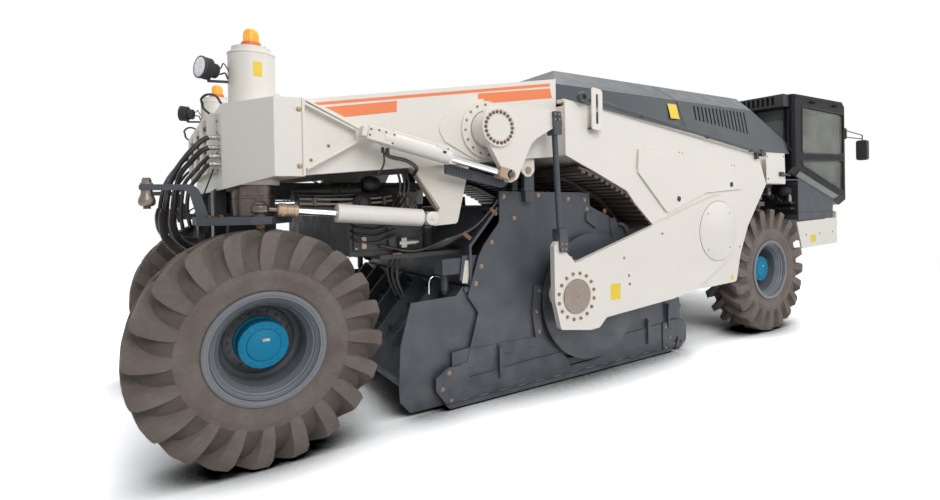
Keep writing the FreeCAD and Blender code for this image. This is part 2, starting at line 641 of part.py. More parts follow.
def bell_cranks():
    """Both bell cranks on their cross shaft."""
    cx, cz = CRANK
    y0, y1 = ARM_Y0, ARM_Y1
    web = plate([(cx - 165, cz + 10, 120), (cx - 60, cz + 200, 150), (LINK_HIGH[0] - 30, LINK_HIGH[1] + 55, 60),
                 (LINK_HIGH[0] + 50, LINK_HIGH[1] + 20, 40), (LINK_HIGH[0] + 35, LINK_HIGH[1] - 60, 40),
                 (cx + 330, cz - 90, 250), (ROD_EYE[0] + 70, ROD_EYE[1] - 30, 40),
                 (ROD_EYE[0] - 10, ROD_EYE[1] - 70, 30), (ROD_EYE[0] - 60, ROD_EYE[1] + 20, 60)], y0, y1)
    web = web.cut(rod_y(LINK_HIGH[0], LINK_HIGH[1], LINK_PIN_R + RUN, y0 - 1, y1 + 1))
    ring = rod_y(cx, cz, CRANK_RING_R, BEAM_Y1 + SEAT, y1 + 20)
    near = [fuse([web, ring])]
    shaft = rod_y(cx, cz, CRANK_SHAFT_R, -BEAM_Y1 - 60, BEAM_Y1 + 60)
    return fuse(near + [mirrored(near[0])] + [shaft])


def link_rods():
    """Long links from the cranks down to the arms, forked at both ends."""
    (x0, z0), (x1, z1) = LINK_LOW, LINK_HIGH
    y = LIFT_Y
    outer = ARM_Y1 + SIDE_GAP
    inner = ARM_Y0 - SIDE_GAP
    lean = math.degrees(math.atan2(x0 - x1, z1 - z0))

    def upright():
        length = math.hypot(x1 - x0, z1 - z0)
        cheeks = []
        for z_mid, way in ((0.0, 1), (length, -1)):
            for y0, y1 in ((inner - LINK_CHEEK_T, inner), (outer, outer + LINK_CHEEK_T)):
                low, high = sorted((z_mid - way * 45, z_mid + way * 150))
                cheeks.append(box(-42, 42, y0, y1, low, high))
            low, high = sorted((z_mid + way * 105, z_mid + way * 150))
            cheeks.append(box(-42, 42, inner, outer, low, high))
        bar = rod((0, y, 140), (0, 0, 1), LINK_ROD_R, length - 280)
        pin = rod_y(0, length, LINK_PIN_R, inner, outer)
        return fuse(cheeks + [bar, pin])
    piece = upright()
    piece.rotate(V(0, 0, 0), V(0, 1, 0), -lean)
    piece.translate(V(x0, 0, z0))
    return pair(piece)


def lift_cylinder():
    """Barrel and rod of the lift cylinders, along the line from base pin to rod eye."""
    (x0, z0), (x1, z1) = LIFT_BASE, ROD_EYE
    length = math.hypot(x1 - x0, z1 - z0)
    dip = math.degrees(math.atan2(z0 - z1, x1 - x0))
    y = LIFT_Y
    r = LIFT_BARREL_R

    def place(shape):
        shape.rotate(V(0, 0, 0), V(0, 1, 0), dip)
        shape.translate(V(x0, 0, z0))
        return shape
    e = LIFT_EYE_R
    barrel = fuse([rod((58, y, 0), (1, 0, 0), r, LIFT_BARREL_L - 58), rod_y(0, 0, e, y - e, y + e),
                   box(0, 70, y - e, y + e, -e, e)])
    barrel = barrel.cut(rod((79, y, 0), (1, 0, 0), LIFT_ROD_R + RUN, LIFT_BARREL_L))
    barrel = barrel.cut(rod_y(0, 0, LINK_PIN_R + RUN, y - e - 1, y + e + 1))
    outer, inner = ARM_Y1 + SIDE_GAP, ARM_Y0 - SIDE_GAP
    t = LINK_CHEEK_T
    bar = rod((LIFT_BARREL_L - 90, y, 0), (1, 0, 0), LIFT_ROD_R, length - 110 - LIFT_BARREL_L + 90)
    bridge = box(length - 130, length - 100, inner - t, outer + t, -42, 42)
    cheeks = [box(length - 100, length + 45, y0, y0 + t, -42, 42) for y0 in (inner - t, outer)]
    return pair(place(barrel)), pair(place(fuse([bar, bridge] + cheeks)))


# ---------------------------------------------------------------- housing
def chamber_side():
    """Side plate of the rotor housing, slotted for the rotor's shaft, with the guide strip beside its seal disc."""
    side = plate([(1376, 120), (1376, 443), (1544, 454), (1626, 733), (1531, 875), (1640, 1200), (1690, 1290, 40),
                  (1848, 1474, 60), (1848, 1737), (2865, 1715), (2872, 1578), (3101, 1494, 60), (3700, 1000, 200),
                  (4150, 560, 120), (4180, 120)], CHAMBER_Y1 - CHAMBER_T, CHAMBER_Y1)
    slot = plate(slot_outline(), CHAMBER_Y1 - CHAMBER_T - 1, CHAMBER_Y1 + 1)
    strip = plate([(2180, 905), (2151, 667), (2183, 440), (2258, 455), (2238, 667), (2262, 890)],
                  CHAMBER_Y1 - 1, CHAMBER_Y1 + 34)
    return side.cut(slot).fuse(strip)


def swung(point, degrees):
    """A point of the rotor arm after the arm has swung by degrees."""
    dx, dz = point[0] - ARM_PIVOT[0], point[1] - ARM_PIVOT[1]
    c, s = math.cos(math.radians(degrees)), math.sin(math.radians(degrees))
    return ARM_PIVOT[0] + dx * c + dz * s, ARM_PIVOT[1] - dx * s + dz * c


def slot_outline():
    """The slot that the rotor's shaft travels in, from travel height to full depth."""
    x0, z0 = HUB_POINT
    x1, z1 = swung(HUB_POINT, -ARM_DROP)
    length = math.hypot(x1 - x0, z1 - z0)
    ux, uz = (x1 - x0) / length, (z1 - z0) / length
    h = SLOT_HALF
    r = h - 1.0
    return [(x0 - ux * h - uz * h, z0 - uz * h + ux * h, r), (x0 - ux * h + uz * h, z0 - uz * h - ux * h, r),
            (x1 + ux * h + uz * h, z1 + uz * h - ux * h, r), (x1 + ux * h - uz * h, z1 + uz * h + ux * h, r)]


def chamber():
    """Roof and sloping end walls of the rotor housing."""
    inner = CHAMBER_Y1 - CHAMBER_T
    roof = plate([(1560, 900), (1560, 1290), (1832, 1600), (2870, 1600), (3120, 1470), (3700, 960), (3900, 760),
                  (3885, 740), (3680, 940), (3105, 1448), (2864, 1578), (1844, 1578), (1582, 1280), (1582, 900)],
                 -inner, inner)
    return roof


def skids():
    """Runners along the foot of both side plates, with their bolted ends, wear shoes and lashing hooks."""
    y0 = CHAMBER_Y1
    band = plate([(1300, 60), (3990, 60), (3990, 330), (3500, 300), (1530, 215), (1500, 345), (1350, 330)],
                 y0, y0 + SKID_BAND_T)
    ends = [plate([(1222, 169), (1328, 20, 20), (1450, 20), (1450, 330), (1330, 335), (1222, 267)], y0, y0 + 26),
            plate([(3850, 20), (3958, 20, 20), (4190, 268, 30), (4048, 340), (3850, 320)], y0, y0 + 26)]
    shoe = plate([(1300, 45), (1328, 13, 12), (3958, 13, 12), (3990, 45)], y0, y0 + SKID_T)
    whole = fuse([band] + ends + [shoe])
    notch = plate([(2492, 262), (2596, 100), (2960, 125), (2960, 320), (2480, 320)], y0 - 1, y0 + SKID_T + 1)
    whole = whole.cut(plate(slot_outline(), y0 - 1, y0 + SKID_T + 1)).cut(notch)
    for x, low, high in HOOKS:
        hook = profile_x([(y0, low), (y0 + 26, low + 10), (y0 + 42, low + 60), (y0 + 42, high - 30), (y0, high)],
                         x - 13, x + 13)
        whole = whole.fuse(hook)
    return pair(whole.removeSplitter())


def gate_rear():
    """Rear gate of the rotor housing: side cheeks, a ribbed wall between them and the hinge bar."""
    hx, hz = GATE_HINGE_REAR
    wall = plate([(hx, hz + 18), (1075, 470), (950, 300), (950, 245), (968, 245), (968, 292), (1092, 458),
                  (hx, hz - 14)], -GATE_HALF, GATE_HALF)
    cheek = plate([(hx - 30, hz + 22), (hx + 15, hz + 22), (hx + 15, 885), (1640, 870), (1640, 250), (1440, 27),
                   (1031, 27), (950, 125), (945, 251), (961, 554), (1051, 876), (1440, 886)],
                  GATE_HALF - 15, GATE_HALF)
    ribs = [plate([(hx - 40, hz - 20), (1085, 468), (1000, 500), (1030, 560), (hx - 120, hz + 60)], y - 8, y + 8)
            for y in (-900, -540, -180, 180, 540, 900)]
    reach = CHAMBER_Y1 - CHAMBER_T - SEAT
    bar = rod_y(hx, hz, GATE_HINGE_R, -reach, reach)
    return fuse([wall, bar] + pair(cheek) + ribs)


def gate_front():
    """Front gate of the rotor housing."""
    hx, hz = GATE_HINGE_FRONT
    wall = plate([(hx, hz + 20), (4120, 560), (4150, 60), (4122, 60), (4095, 545), (hx, hz - 15)],
                 -GATE_HALF, GATE_HALF)
    reach = CHAMBER_Y1 - CHAMBER_T - SEAT
    bar = rod_y(hx, hz, GATE_HINGE_R, -reach, reach)
    return fuse([wall, bar])


def beam_under(x):
    """Height of the beams' underside at a place along the machine."""
    (low0, _), (low1, _) = BEAM_BACK_Z, BEAM_FRONT_Z
    return low0 + (x - BOX_FRONT_X) * (low1 - low0) / (BEAM_X1 - BOX_FRONT_X)


def hangers():
    """Brackets that hang the rotor housing from the beams."""
    x0, x1 = 2081.0, 2173.0
    bracket = plate([(x0, 1640), (x0, beam_under(x0)), (x1, beam_under(x1)), (x1, 1640)],
                    CHAMBER_Y1, CHAMBER_Y1 + 60)
    return pair(bracket)


def steer_brackets():
    """Hanging brackets that hold the base eyes of the steering cylinders."""
    solids = []
    y = KINGPIN_Y + STEER_ARM
    half = STEER_EYE_T / 2 + SEAT
    x, z = STEER_BASE_X, STEER_BASE_Z
    pocket = box(x - 80, x + 58, y - 60, y + 60, z - half, z + half)
    ears = [box(x - 30, x + 90, y - 40, y + 40, low, low + 20) for low in (z - half - 20, z + half)]
    for e in (0, 1):
        hang = plate([(1040, beam_under(1040)), (1530, beam_under(1530)), (1411, 1482, 30), (1206, 1470), (1260, 1606)],
                     y - 40, y + 40)
        if e:
            hang = box(x + 50, x + 170, y - 40, PLATE_Y0, z - half - 20, z + half + 60)
        pin = rod((x, y, z - half - 20), (0, 0, 1), STEER_PIN_R, 2 * half + 40)
        whole = fuse([hang.cut(pocket)] + ears + [pin])
        if e:
            whole = whole.mirror(V(0, 0, 0), V(1, 0, 0))
            whole.translate(V(WHEELBASE, 0, 0))
        solids += pair(whole)
    return solids


def rear_modules():
    """Hydraulic tank, pump blocks and canisters hung under the rear frame, on their shelf."""
    neck = box(BOX_CHAMFER_X + 20, 700, -300, 300, 1700, BOX_Z0)
    core = box(640, 1450, -560, 560, 1250, 1830)
    wing = box(640, 1230, -1050, 1050, 1250, 1600)
    shelf = box(860, 1560, -1090, 1090, 1215, 1250)
    cans = []
    for side in (-1, 1):
        cans.append(rod((1340, side * 860, 1250), (0, 0, 1), 78, 330))
        cans.append(rod((1340, side * 640, 1250), (0, 0, 1), 60, 420))
        cans.append(rod_y(760, 1660, 70, side * 800 - 190, side * 800 + 190))
    return fuse([neck, core, wing, shelf] + cans)


def cab_under(x):
    """Height of the cab's underside at a place along the machine."""
    return CAB_BACK_Z + (x - CAB_X0) * (CAB_FRONT_Z - CAB_BACK_Z) / (CAB_X1 - 20 - CAB_X0)


def platform():
    """Deck under the cab, with the floor beams that join it to the front box."""
    x0, x1 = CAB_X0 + 215, CAB_X0 + 1145
    block = plate([(x0, 1330), (x1 - 30, 1330), (x1, cab_under(x1)), (x0, cab_under(x0))], -1380, 1380)
    block = block.cut(box(x0 - 100, x1 + 100, CAB_Y_FAR + 8, 1400, DECK_Z, 2000))
    block = block.cut(box(x0 - 1, x0 + 150, CAB_Y_FAR + 8, 1400, 1300, 1800))
    x2 = x0 + 60
    neck = box(FRONT_BOX[1], x0 + 1, -600, 600, 1775, 1840)
    wide = slab([(FRONT_BOX[1], -1380), (x2 - 16, -1380), (x2 - 16, 300), (x0 + 30, 300), (x0 + 30, 1380),
                 (FRONT_BOX[1], 1380)], 1850, 1865)
    rib = box(FRONT_BOX[1], x0 + 1, -20, 20, 1839, 1851)
    return fuse([block, neck, rib, wide])


def bumper():
    """Skirt round the front end, under the cab deck."""
    x0, x1 = CAB_X0 + 215, CAB_X0 + 1205
    side = plate([(x0 + 36, 957), (x1 - 13, 975), (x1, 1420), (x1 - 36, 1420), (x1 - 38, 1330), (x0 - 78, 1305)],
                 1380, 1400)
    face = box(x1 - 32, x1, -1380, 1380, 977, 1420)
    return fuse(pair(side) + [face, box(x0 + 700, x1 - 32, -1380, 1380, 1310, 1330)])


def cab_outline(inset):
    """Side view of the cab, shrunk by inset."""
    i = inset
    return [(CAB_X0 + i, CAB_BACK_Z + i * 1.2), (CAB_X1 - 20 - i, CAB_FRONT_Z + i * 1.2), (CAB_X1 - i, CAB_TOP_Z - 95),
            (CAB_X1 - 120 - i * 0.5, CAB_TOP_Z - i), (CAB_X0 + i, CAB_TOP_Z - i)]


def cab():
    """Hollow cab with rounded corners and a slanted foot, its windows and door opening cut."""
    y0, y1 = -CAB_Y_NEAR, CAB_Y_FAR
    w = CAB_WALL
    r = CAB_CORNER_R
    shell = plate(cab_outline(0), y0, y1).common(
        slab([(CAB_X0, y0, r), (CAB_X1, y0, r), (CAB_X1, y1, r), (CAB_X0, y1, r)], 1000, CAB_TOP_Z + 1))
    shell = shell.cut(plate(cab_outline(w), y0 + w, y1 - w))
    # slanted strip between the near wall and the floor
    fall = (CAB_FRONT_Z - CAB_BACK_Z) / (CAB_X1 - 20 - CAB_X0)
    xa, xb = CAB_X0 - 100, CAB_X1 + 100
    za = CAB_BACK_Z + fall * (xa - CAB_X0)
    k = CAB_SILL_DROP / 100.0
    wire = Part.makePolygon([V(xa, y0 - 50, za + CAB_SILL_DROP + 50 * k), V(xa, y0 + 150, za - 50 * k),
                             V(xa, y0 - 50, za - 50 * k), V(xa, y0 - 50, za + CAB_SILL_DROP + 50 * k)])
    shell = shell.cut(Part.Face(wire).extrude(V(xb - xa, 0, fall * (xb - xa))))
    for cut in near_windows(0.0) + [rear_window(0.0), front_window(0.0), door_opening(0.0)]:
        shell = shell.cut(cut)
    hx, hy = DOOR_X[0], y1 + 22
    for z in DOOR_HINGE_Z:
        bracket = box(hx - 50, hx + 3, y1, hy + 12, z - 16, z - SEAT)
        bracket = bracket.fuse(rod((hx, hy, z - 16), (0, 0, 1), 12, 16 - SEAT))
        pin = rod((hx, hy, z - 16), (0, 0, 1), DOOR_HINGE_R / 2, 66)
        shell = shell.fuse(bracket).fuse(pin)
    return shell.removeSplitter()


def near_windows(gap):
    """The two panes' openings in the near side wall."""
    y0, y1 = -CAB_Y_NEAR - 1 + gap, -CAB_Y_NEAR + CAB_WALL + 1 - gap
    x, top = CAB_X0, CAB_TOP_Z - 140
    upper = plate([(x + 195, 2200, 30), (x + 1315, 2215, 30), (x + 1330, top - 30, 60), (x + 210, top, 60)], y0, y1)
    lower = plate([(x + 205, 2045, 20), (x + 1305, 1690, 30), (x + 1315, 2140, 30), (x + 195, 2105, 20)], y0, y1)
    return [upper, lower]


def rear_window(gap):
    """The opening in the rear wall."""
    return box(CAB_X0 - 1 + gap, CAB_X0 + CAB_WALL + 1 - gap, -CAB_Y_NEAR + 130, CAB_Y_FAR - 130, 2260, CAB_TOP_Z - 120)


def front_window(gap):
    """The opening in the front wall."""
    return box(CAB_X1 - 90 + gap, CAB_X1 + 1 - gap, -CAB_Y_NEAR + 110, CAB_Y_FAR - 110, 1850, CAB_TOP_Z - 130)


def door_opening(gap):
    """The doorway in the far side wall."""
    x0, x1 = DOOR_X
    g = gap
    return plate([(x0 + g, 1990 + g), (x1 - g, 1790 + g), (x1 - g, DOOR_TOP_Z - g), (x0 + g, DOOR_TOP_Z - g)],
                 CAB_Y_FAR - CAB_WALL - 1 + g / 6, CAB_Y_FAR + 1 - g / 6)


def cab_door():
    """Cab door, as thick as the wall, with its pane's opening and hinge pins."""
    x0, x1 = DOOR_X
    leaf = door_opening(DOOR_GAP)
    hx, hy = DOOR_X[0], CAB_Y_FAR + 22
    for z in DOOR_HINGE_Z:
        knuckle = rod((hx, hy, z), (0, 0, 1), DOOR_HINGE_R, 50)
        strap = box(hx, hx + 70, CAB_Y_FAR - 10, hy + 8, z, z + 50)
        leaf = leaf.fuse(knuckle).fuse(strap)
    leaf = leaf.removeSplitter()
    for z in DOOR_HINGE_Z:
        leaf = leaf.cut(rod((hx, hy, z - 1), (0, 0, 1), DOOR_HINGE_R / 2 + RUN, 60))
    pane = plate([(x0 + 90, 2150), (x1 - 90, 2050), (x1 - 90, DOOR_TOP_Z - 90), (x0 + 90, DOOR_TOP_Z - 90)],
                 CAB_Y_FAR - CAB_WALL - 5, CAB_Y_FAR + 5)
    return leaf.cut(pane)


def cab_door_pane():
    """The door's glass."""
    x0, x1 = DOOR_X
    y = CAB_Y_FAR - CAB_WALL / 2
    return plate([(x0 + 90, 2150), (x1 - 90, 2050), (x1 - 90, DOOR_TOP_Z - 90), (x0 + 90, DOOR_TOP_Z - 90)],
                 y - GLASS_T / 2, y + GLASS_T / 2)


def cab_glass():
    """Fixed panes of the cab."""
    y = -CAB_Y_NEAR + CAB_WALL / 2
    slot = box(CAB_X0 - 500, CAB_X1 + 500, y - GLASS_T / 2, y + GLASS_T / 2, 1000, 4000)
    panes = [pane.common(slot) for pane in near_windows(0.0)]
    x = CAB_X0 + CAB_WALL / 2
    panes.append(rear_window(0.0).common(box(x - GLASS_T / 2, x + GLASS_T / 2, -2000, 2000, 1000, 4000)))
    x = CAB_X1 - CAB_WALL
    panes.append(front_window(0.0).common(box(x - GLASS_T / 2, x + GLASS_T / 2, -2000, 2000, 1000, 4000)))
    return panes


def floor_z(x):
    """Height of the cab's floor inside at a place along the machine."""
    w = CAB_WALL
    x0, z0 = CAB_X0 + w, CAB_BACK_Z + 1.2 * w
    x1, z1 = CAB_X1 - 20 - w, CAB_FRONT_Z + 1.2 * w
    return z0 + (x - x0) * (z1 - z0) / (x1 - x0)


def cab_inside():
    """Operator's seat and steering console."""
    y = -550.0
    back_x, desk_x = CAB_X0 + 195.0, CAB_X0 + 965.0
    x0, x1 = back_x + 100.0, back_x + 520.0
    base = plate([(x0, floor_z(x0)), (x1, floor_z(x1)), (x1, 2150), (x0, 2150)], y - 180, y + 180)
    cushion = box(back_x + 60, back_x + 580, y - 250, y + 250, 2150, 2270)
    back = plate([(back_x + 60, 2270), (back_x + 180, 2270), (back_x + 100, 2800), (back_x, 2800)], y - 240, y + 240)
    seat = fuse([base, cushion, back])
    x0, x1 = desk_x, desk_x + 200.0
    desk = plate([(x0, floor_z(x0)), (x1, floor_z(x1)), (x1 - 20, 2300), (x1 - 110, 2320)], y - 150, y + 150)
    return [seat, desk]


def roof_unit():
    """Slatted cooling unit on the cab's rear edge."""
    y0, y1 = -CAB_Y_NEAR + 60, CAB_Y_FAR - 60
    low, high = CAB_TOP_Z - 160, CAB_TOP_Z - 5
    whole = box(CAB_X0 - 130, CAB_X0, y0, y1, low, high)
    slots = []
    count = 22
    for i in range(count):
        y = y0 + 130 + (y1 - y0 - 170) * i / count
        slots.append(box(CAB_X0 - 131, CAB_X0 - 70, y, y + 34, low + 28, high - 22))
    return whole.cut(Part.makeCompound(slots))


def mirror():
    """Rear-view mirror on its two thin arms."""
    x1 = FRONT_REACH
    y = -MIRROR_Y
    xf = CAB_X1 - 80
    foot = box(xf, xf + 60, -CAB_Y_NEAR - 12, -CAB_Y_NEAR, 2440, 2600)
    tip = x1 - MIRROR_T / 2
    arms = [between((xf + 45, -CAB_Y_NEAR - 8, 2565), (tip, y, 2515), 7),
            between((xf + 45, -CAB_Y_NEAR - 8, 2470), (tip, y, 2462), 7),
            between((tip, y, 2520), (tip, y, 2400), 8)]
    low, high, half = 2152, 2152 + MIRROR_H, MIRROR_W / 2
    head = plate([(y - half, low, 34), (y + half, low, 34), (y + half, high, 34), (y - half, high, 34)], 0, MIRROR_T)
    head.rotate(V(0, 0, 0), V(0, 0, 1), 90)
    head.translate(V(x1, 0, 0))
    return fuse([head, foot] + arms)


def ladder():
    """Steps up to the deck beside the cab door, and the deck's handrail behind them."""
    x0, x1 = CAB_X0 + 620, CAB_X0 + 1020
    y = 1400 + SEAT
    steps = [box(x - 20, x + 20, y, y + 12, 440, 1410) for x in (x0, x1)]
    steps += [box(x0 - 20, x1 + 20, y + 4, y + 100, z - 15, z + 15) for z in STEP_Z]
    ry, top, foot = 1350, 2700, DECK_Z + SEAT
    ends = (x0 - 335, x0 - 65)
    rail = [between((x, ry, foot), (x, ry, top), 17) for x in ends]
    rail += [between((ends[0], ry, z), (ends[1], ry, z), 15) for z in (2240, top)]
    rail += [Part.makeSphere(17, V(x, ry, top)) for x in ends]
    return [fuse(steps), fuse(rail)]


def tow_bar():
    """Towing bar stowed along the near side, in its slotted bracket."""
    y = -PLATE_Y1 - 40
    ex, ez = TOW_EYE
    bar = between((ex + 40, y, ez - 4), (fore(5345), y, 2160), 20)
    eye = rod_y(ex, ez, 45, y - 20, y + 20).cut(rod_y(ex, ez, 24, y - 21, y + 21))
    clevis = box(fore(5300), fore(5300) + 85, y - 25, y + 25, 2122, 2200)
    keeper = plate([(ex + 90, 2285, 15), (ex + 208, 2270, 15), (ex + 208, 2630, 30), (ex + 90, 2645, 30)], y - 28, y - 19)
    keeper = keeper.cut(plate([(ex + 128, 2320, 18), (ex + 170, 2316, 18), (ex + 170, 2600, 18), (ex + 128, 2604, 18)],
                              y - 30, y - 18))
    feet = [box(ex + 90, ex + 208, y - 20, -PLATE_Y1, 2285, 2297), box(ex + 178, ex + 208, y - 20, -PLATE_Y1, 2290, 2440)]
    stop = box(fore(5240), fore(5240) + 40, y, -PLATE_Y1, 2090, 2175)
    return fuse([bar, eye, clevis, keeper, stop] + feet)


def service_doors():
    """Hinged panels in the side plates of the front frame."""
    leaf = plate([(3286, SERVICE_TOP_Z), (5132, SERVICE_TOP_Z - 226), (4960, 1740, 80), (4300, 1700), (3690, 1500, 60),
                  (3270, 1910, 40)], PLATE_Y1 + SEAT, PLATE_Y1 + SEAT + SERVICE_T)
    y = PLATE_Y1 + SEAT + SERVICE_T / 2
    for t in (0.12, 0.88):
        x0, z0 = 3286 + (t - 0.04) * (5132 - 3286), SERVICE_TOP_Z - (t - 0.04) * 226
        x1, z1 = 3286 + (t + 0.04) * (5132 - 3286), SERVICE_TOP_Z - (t + 0.04) * 226
        leaf = leaf.fuse(between((x0, y, z0), (x1, y, z1), SERVICE_PIN_R))
    leaf = leaf.removeSplitter()
    return [mirrored(leaf), leaf]


def lamps():
    """Beacons on the rear columns and work lamps beside them."""
    solids = []
    top = COLUMN_TOP_Z + CAP_H
    base = rod((0, KINGPIN_Y, top), (0, 0, 1), 60, 40)
    dome = rod((0, KINGPIN_Y, top + 40), (0, 0, 1), 46, 50).fuse(Part.makeSphere(46, V(0, KINGPIN_Y, top + 90)))
    solids += pair(fuse([base, dome]))
    arm = between((-COLUMN_R + 2, KINGPIN_Y, COLUMN_TOP_Z - 197), (-255, KINGPIN_Y, COLUMN_TOP_Z - 203), 9)
    z = COLUMN_TOP_Z - 127
    aim = V(-1.0, LAMP_TURN, 0.1).normalize()
    back = V(-250, KINGPIN_Y, z) - aim * 45
    head = rod((-250, KINGPIN_Y, z), aim, 68, 62).fuse(rod(back, aim, 46, 60))
    post = rod((-255, KINGPIN_Y, COLUMN_TOP_Z - 210), (0, 0, 1), 9, 40)
    whole = fuse([head, arm, post]).cut(rod((0, KINGPIN_Y, 2000), (0, 0, 1), COLUMN_R, 1000))
    return solids + pair(whole)


def engine():
    """The engine, as one block."""
    return box(fore(3000), fore(4900), -480, 480, 1980, 2720)


def cooler():
    """Slatted screen that closes the underside of the front frame's arch, with the rails behind its slats."""
    line = [(2560, 1950), (2800, 1880), (3190, 1700), (3500, 1420)]
    under = [(2550, 1905), (2785, 1835), (3165, 1660), (3466, 1388)]
    steps = []
    for (x0, z0), (x1, z1) in zip(under, under[1:]):
        length = math.hypot(x1 - x0, z1 - z0)
        ux, uz = (x1 - x0) / length, (z1 - z0) / length
        nx, nz = -uz, ux
        count = int(length // 62)
        for i in range(count):
            a = length * i / count
            for t, deep in ((a + 1, 0), (a + 1, 26), (a + 34, 26), (a + 34, 0)):
                steps.append((x0 + ux * t + nx * deep, z0 + uz * t + nz * deep))
    steps.append(under[-1])
    return plate([(fore(x), z) for x, z in line] + [(fore(x), z) for x, z in reversed(steps)], -PLATE_Y0, PLATE_Y0)


def valve_panel():
    """Hydraulic connection panel at the back of the rear box."""
    return box(BOX_BACK_X - 60, BOX_BACK_X, -820, 820, 1880, 2300)


def build_all():
    """Write every piece."""
    os.makedirs(PARTS, exist_ok=True)
    wheels()
    columns()
    save("rear_frame", rear_frame())
    save("lift_brackets", lift_brackets())
    save("front_frame", front_frame())
    save("engine_hood", hood())
    save("engine", engine())
    save("cooler", cooler())
    save("rotor_arms", rotor_arms())
    save("seal_discs", seal_discs())
    save("rotor", rotor())
    save("bell_cranks", bell_cranks())
    save("link_rods", link_rods())
    barrels, rods = lift_cylinder()
    save("lift_barrels", barrels)
    save("lift_rods", rods)
    save("chamber_sides", pair(chamber_side()))
    save("chamber_roof", chamber())
    save("chamber_hangers", hangers())
    save("skids", skids())
    save("gate_rear", gate_rear())
    save("gate_front", gate_front())
    save("steer_brackets", steer_brackets())
    save("rear_modules", rear_modules())
    save("cab_platform", platform())
    save("bumper", bumper())
    save("cab", cab())
    save("cab_glass", cab_glass())
    save("cab_door", cab_door())
    save("cab_door_pane", cab_door_pane())
    save("cab_inside", cab_inside())
    save("roof_unit", roof_unit())
    save("mirror", mirror())
    save("ladder", ladder())
    save("tow_bar", tow_bar())
    near_door, far_door = service_doors()
    save("service_door_near", near_door)
    save("service_door_far", far_door)
    save("lamps", lamps())
    save("valve_panel", valve_panel())


build_all()
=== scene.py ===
"""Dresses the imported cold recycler: finishes, tyres, bolts, hoses, lamps, cab trim and the studio around it."""

import json
import logging
import math
from collections.abc import Iterator
from dataclasses import dataclass, field
from enum import Enum

import bmesh
import bpy
from mathutils import Matrix, Vector

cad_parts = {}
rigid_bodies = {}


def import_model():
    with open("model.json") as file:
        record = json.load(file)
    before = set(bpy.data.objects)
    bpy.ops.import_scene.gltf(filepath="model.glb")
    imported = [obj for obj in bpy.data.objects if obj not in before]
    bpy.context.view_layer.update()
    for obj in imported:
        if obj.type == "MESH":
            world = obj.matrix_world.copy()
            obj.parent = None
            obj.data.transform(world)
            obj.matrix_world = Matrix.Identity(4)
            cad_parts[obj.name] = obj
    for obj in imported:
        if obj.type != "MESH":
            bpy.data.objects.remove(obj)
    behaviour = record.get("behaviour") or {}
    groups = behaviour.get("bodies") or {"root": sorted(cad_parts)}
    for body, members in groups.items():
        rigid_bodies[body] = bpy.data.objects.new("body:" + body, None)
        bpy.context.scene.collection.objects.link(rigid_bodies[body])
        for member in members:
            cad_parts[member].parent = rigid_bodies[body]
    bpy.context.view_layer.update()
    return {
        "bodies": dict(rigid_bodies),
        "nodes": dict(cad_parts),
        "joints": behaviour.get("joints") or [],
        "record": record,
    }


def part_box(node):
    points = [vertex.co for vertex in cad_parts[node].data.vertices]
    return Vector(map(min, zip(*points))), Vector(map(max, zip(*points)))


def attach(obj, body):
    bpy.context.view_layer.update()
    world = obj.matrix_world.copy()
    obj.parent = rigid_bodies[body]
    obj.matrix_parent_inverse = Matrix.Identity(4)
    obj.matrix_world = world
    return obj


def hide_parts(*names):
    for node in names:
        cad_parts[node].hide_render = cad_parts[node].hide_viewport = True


LOG = logging.getLogger("recycler")
Point = tuple[float, float, float]
Pair = tuple[float, float]
Colour = tuple[float, float, float]

ROW_SHIFT = -3.625  # the rear axle's X in the row frame, in metres
WHEELBASE = 5.632
MERGE = 1e-5  # vertices nearer than this are made one
SIDES = (-1, 1)
FLANKS = (("near", -1), ("far", 1))
AXLES = (("rear", 0.0, 1.0), ("front", WHEELBASE, -1.0))  # name, distance ahead, and the way to the middle
ALONG = Vector((1, 0, 0)).freeze()
ACROSS = Vector((0, 1, 0)).freeze()
UP = Vector((0, 0, 1)).freeze()


def at(ahead: float, y: float, z: float) -> Vector:
    """A point given by its distance ahead of the rear axle.

    Args:
        ahead: Distance ahead of the rear axle.
        y: Distance across.
        z: Height.

    Returns:
        The point in the row frame.
    """
    return Vector((ahead + ROW_SHIFT, y, z))


def corners() -> Iterator[tuple[str, float, float, int]]:
    """Goes round the four wheels.

    Yields:
        The wheel's name, its axle's distance ahead, the way to the machine's middle, and its side.
    """
    for end, ahead, way in AXLES:
        for flank, side in FLANKS:
            yield f"{end}_{flank}", ahead, way, side


# ---------------------------------------------------------------- finishes
class Grain(Enum):
    """How a finish breaks up close to."""

    ORANGE_PEEL = "orange_peel"
    CAST = "cast"
    BRUSHED = "brushed"
    RUBBER = "rubber"
    MOULDED = "moulded"


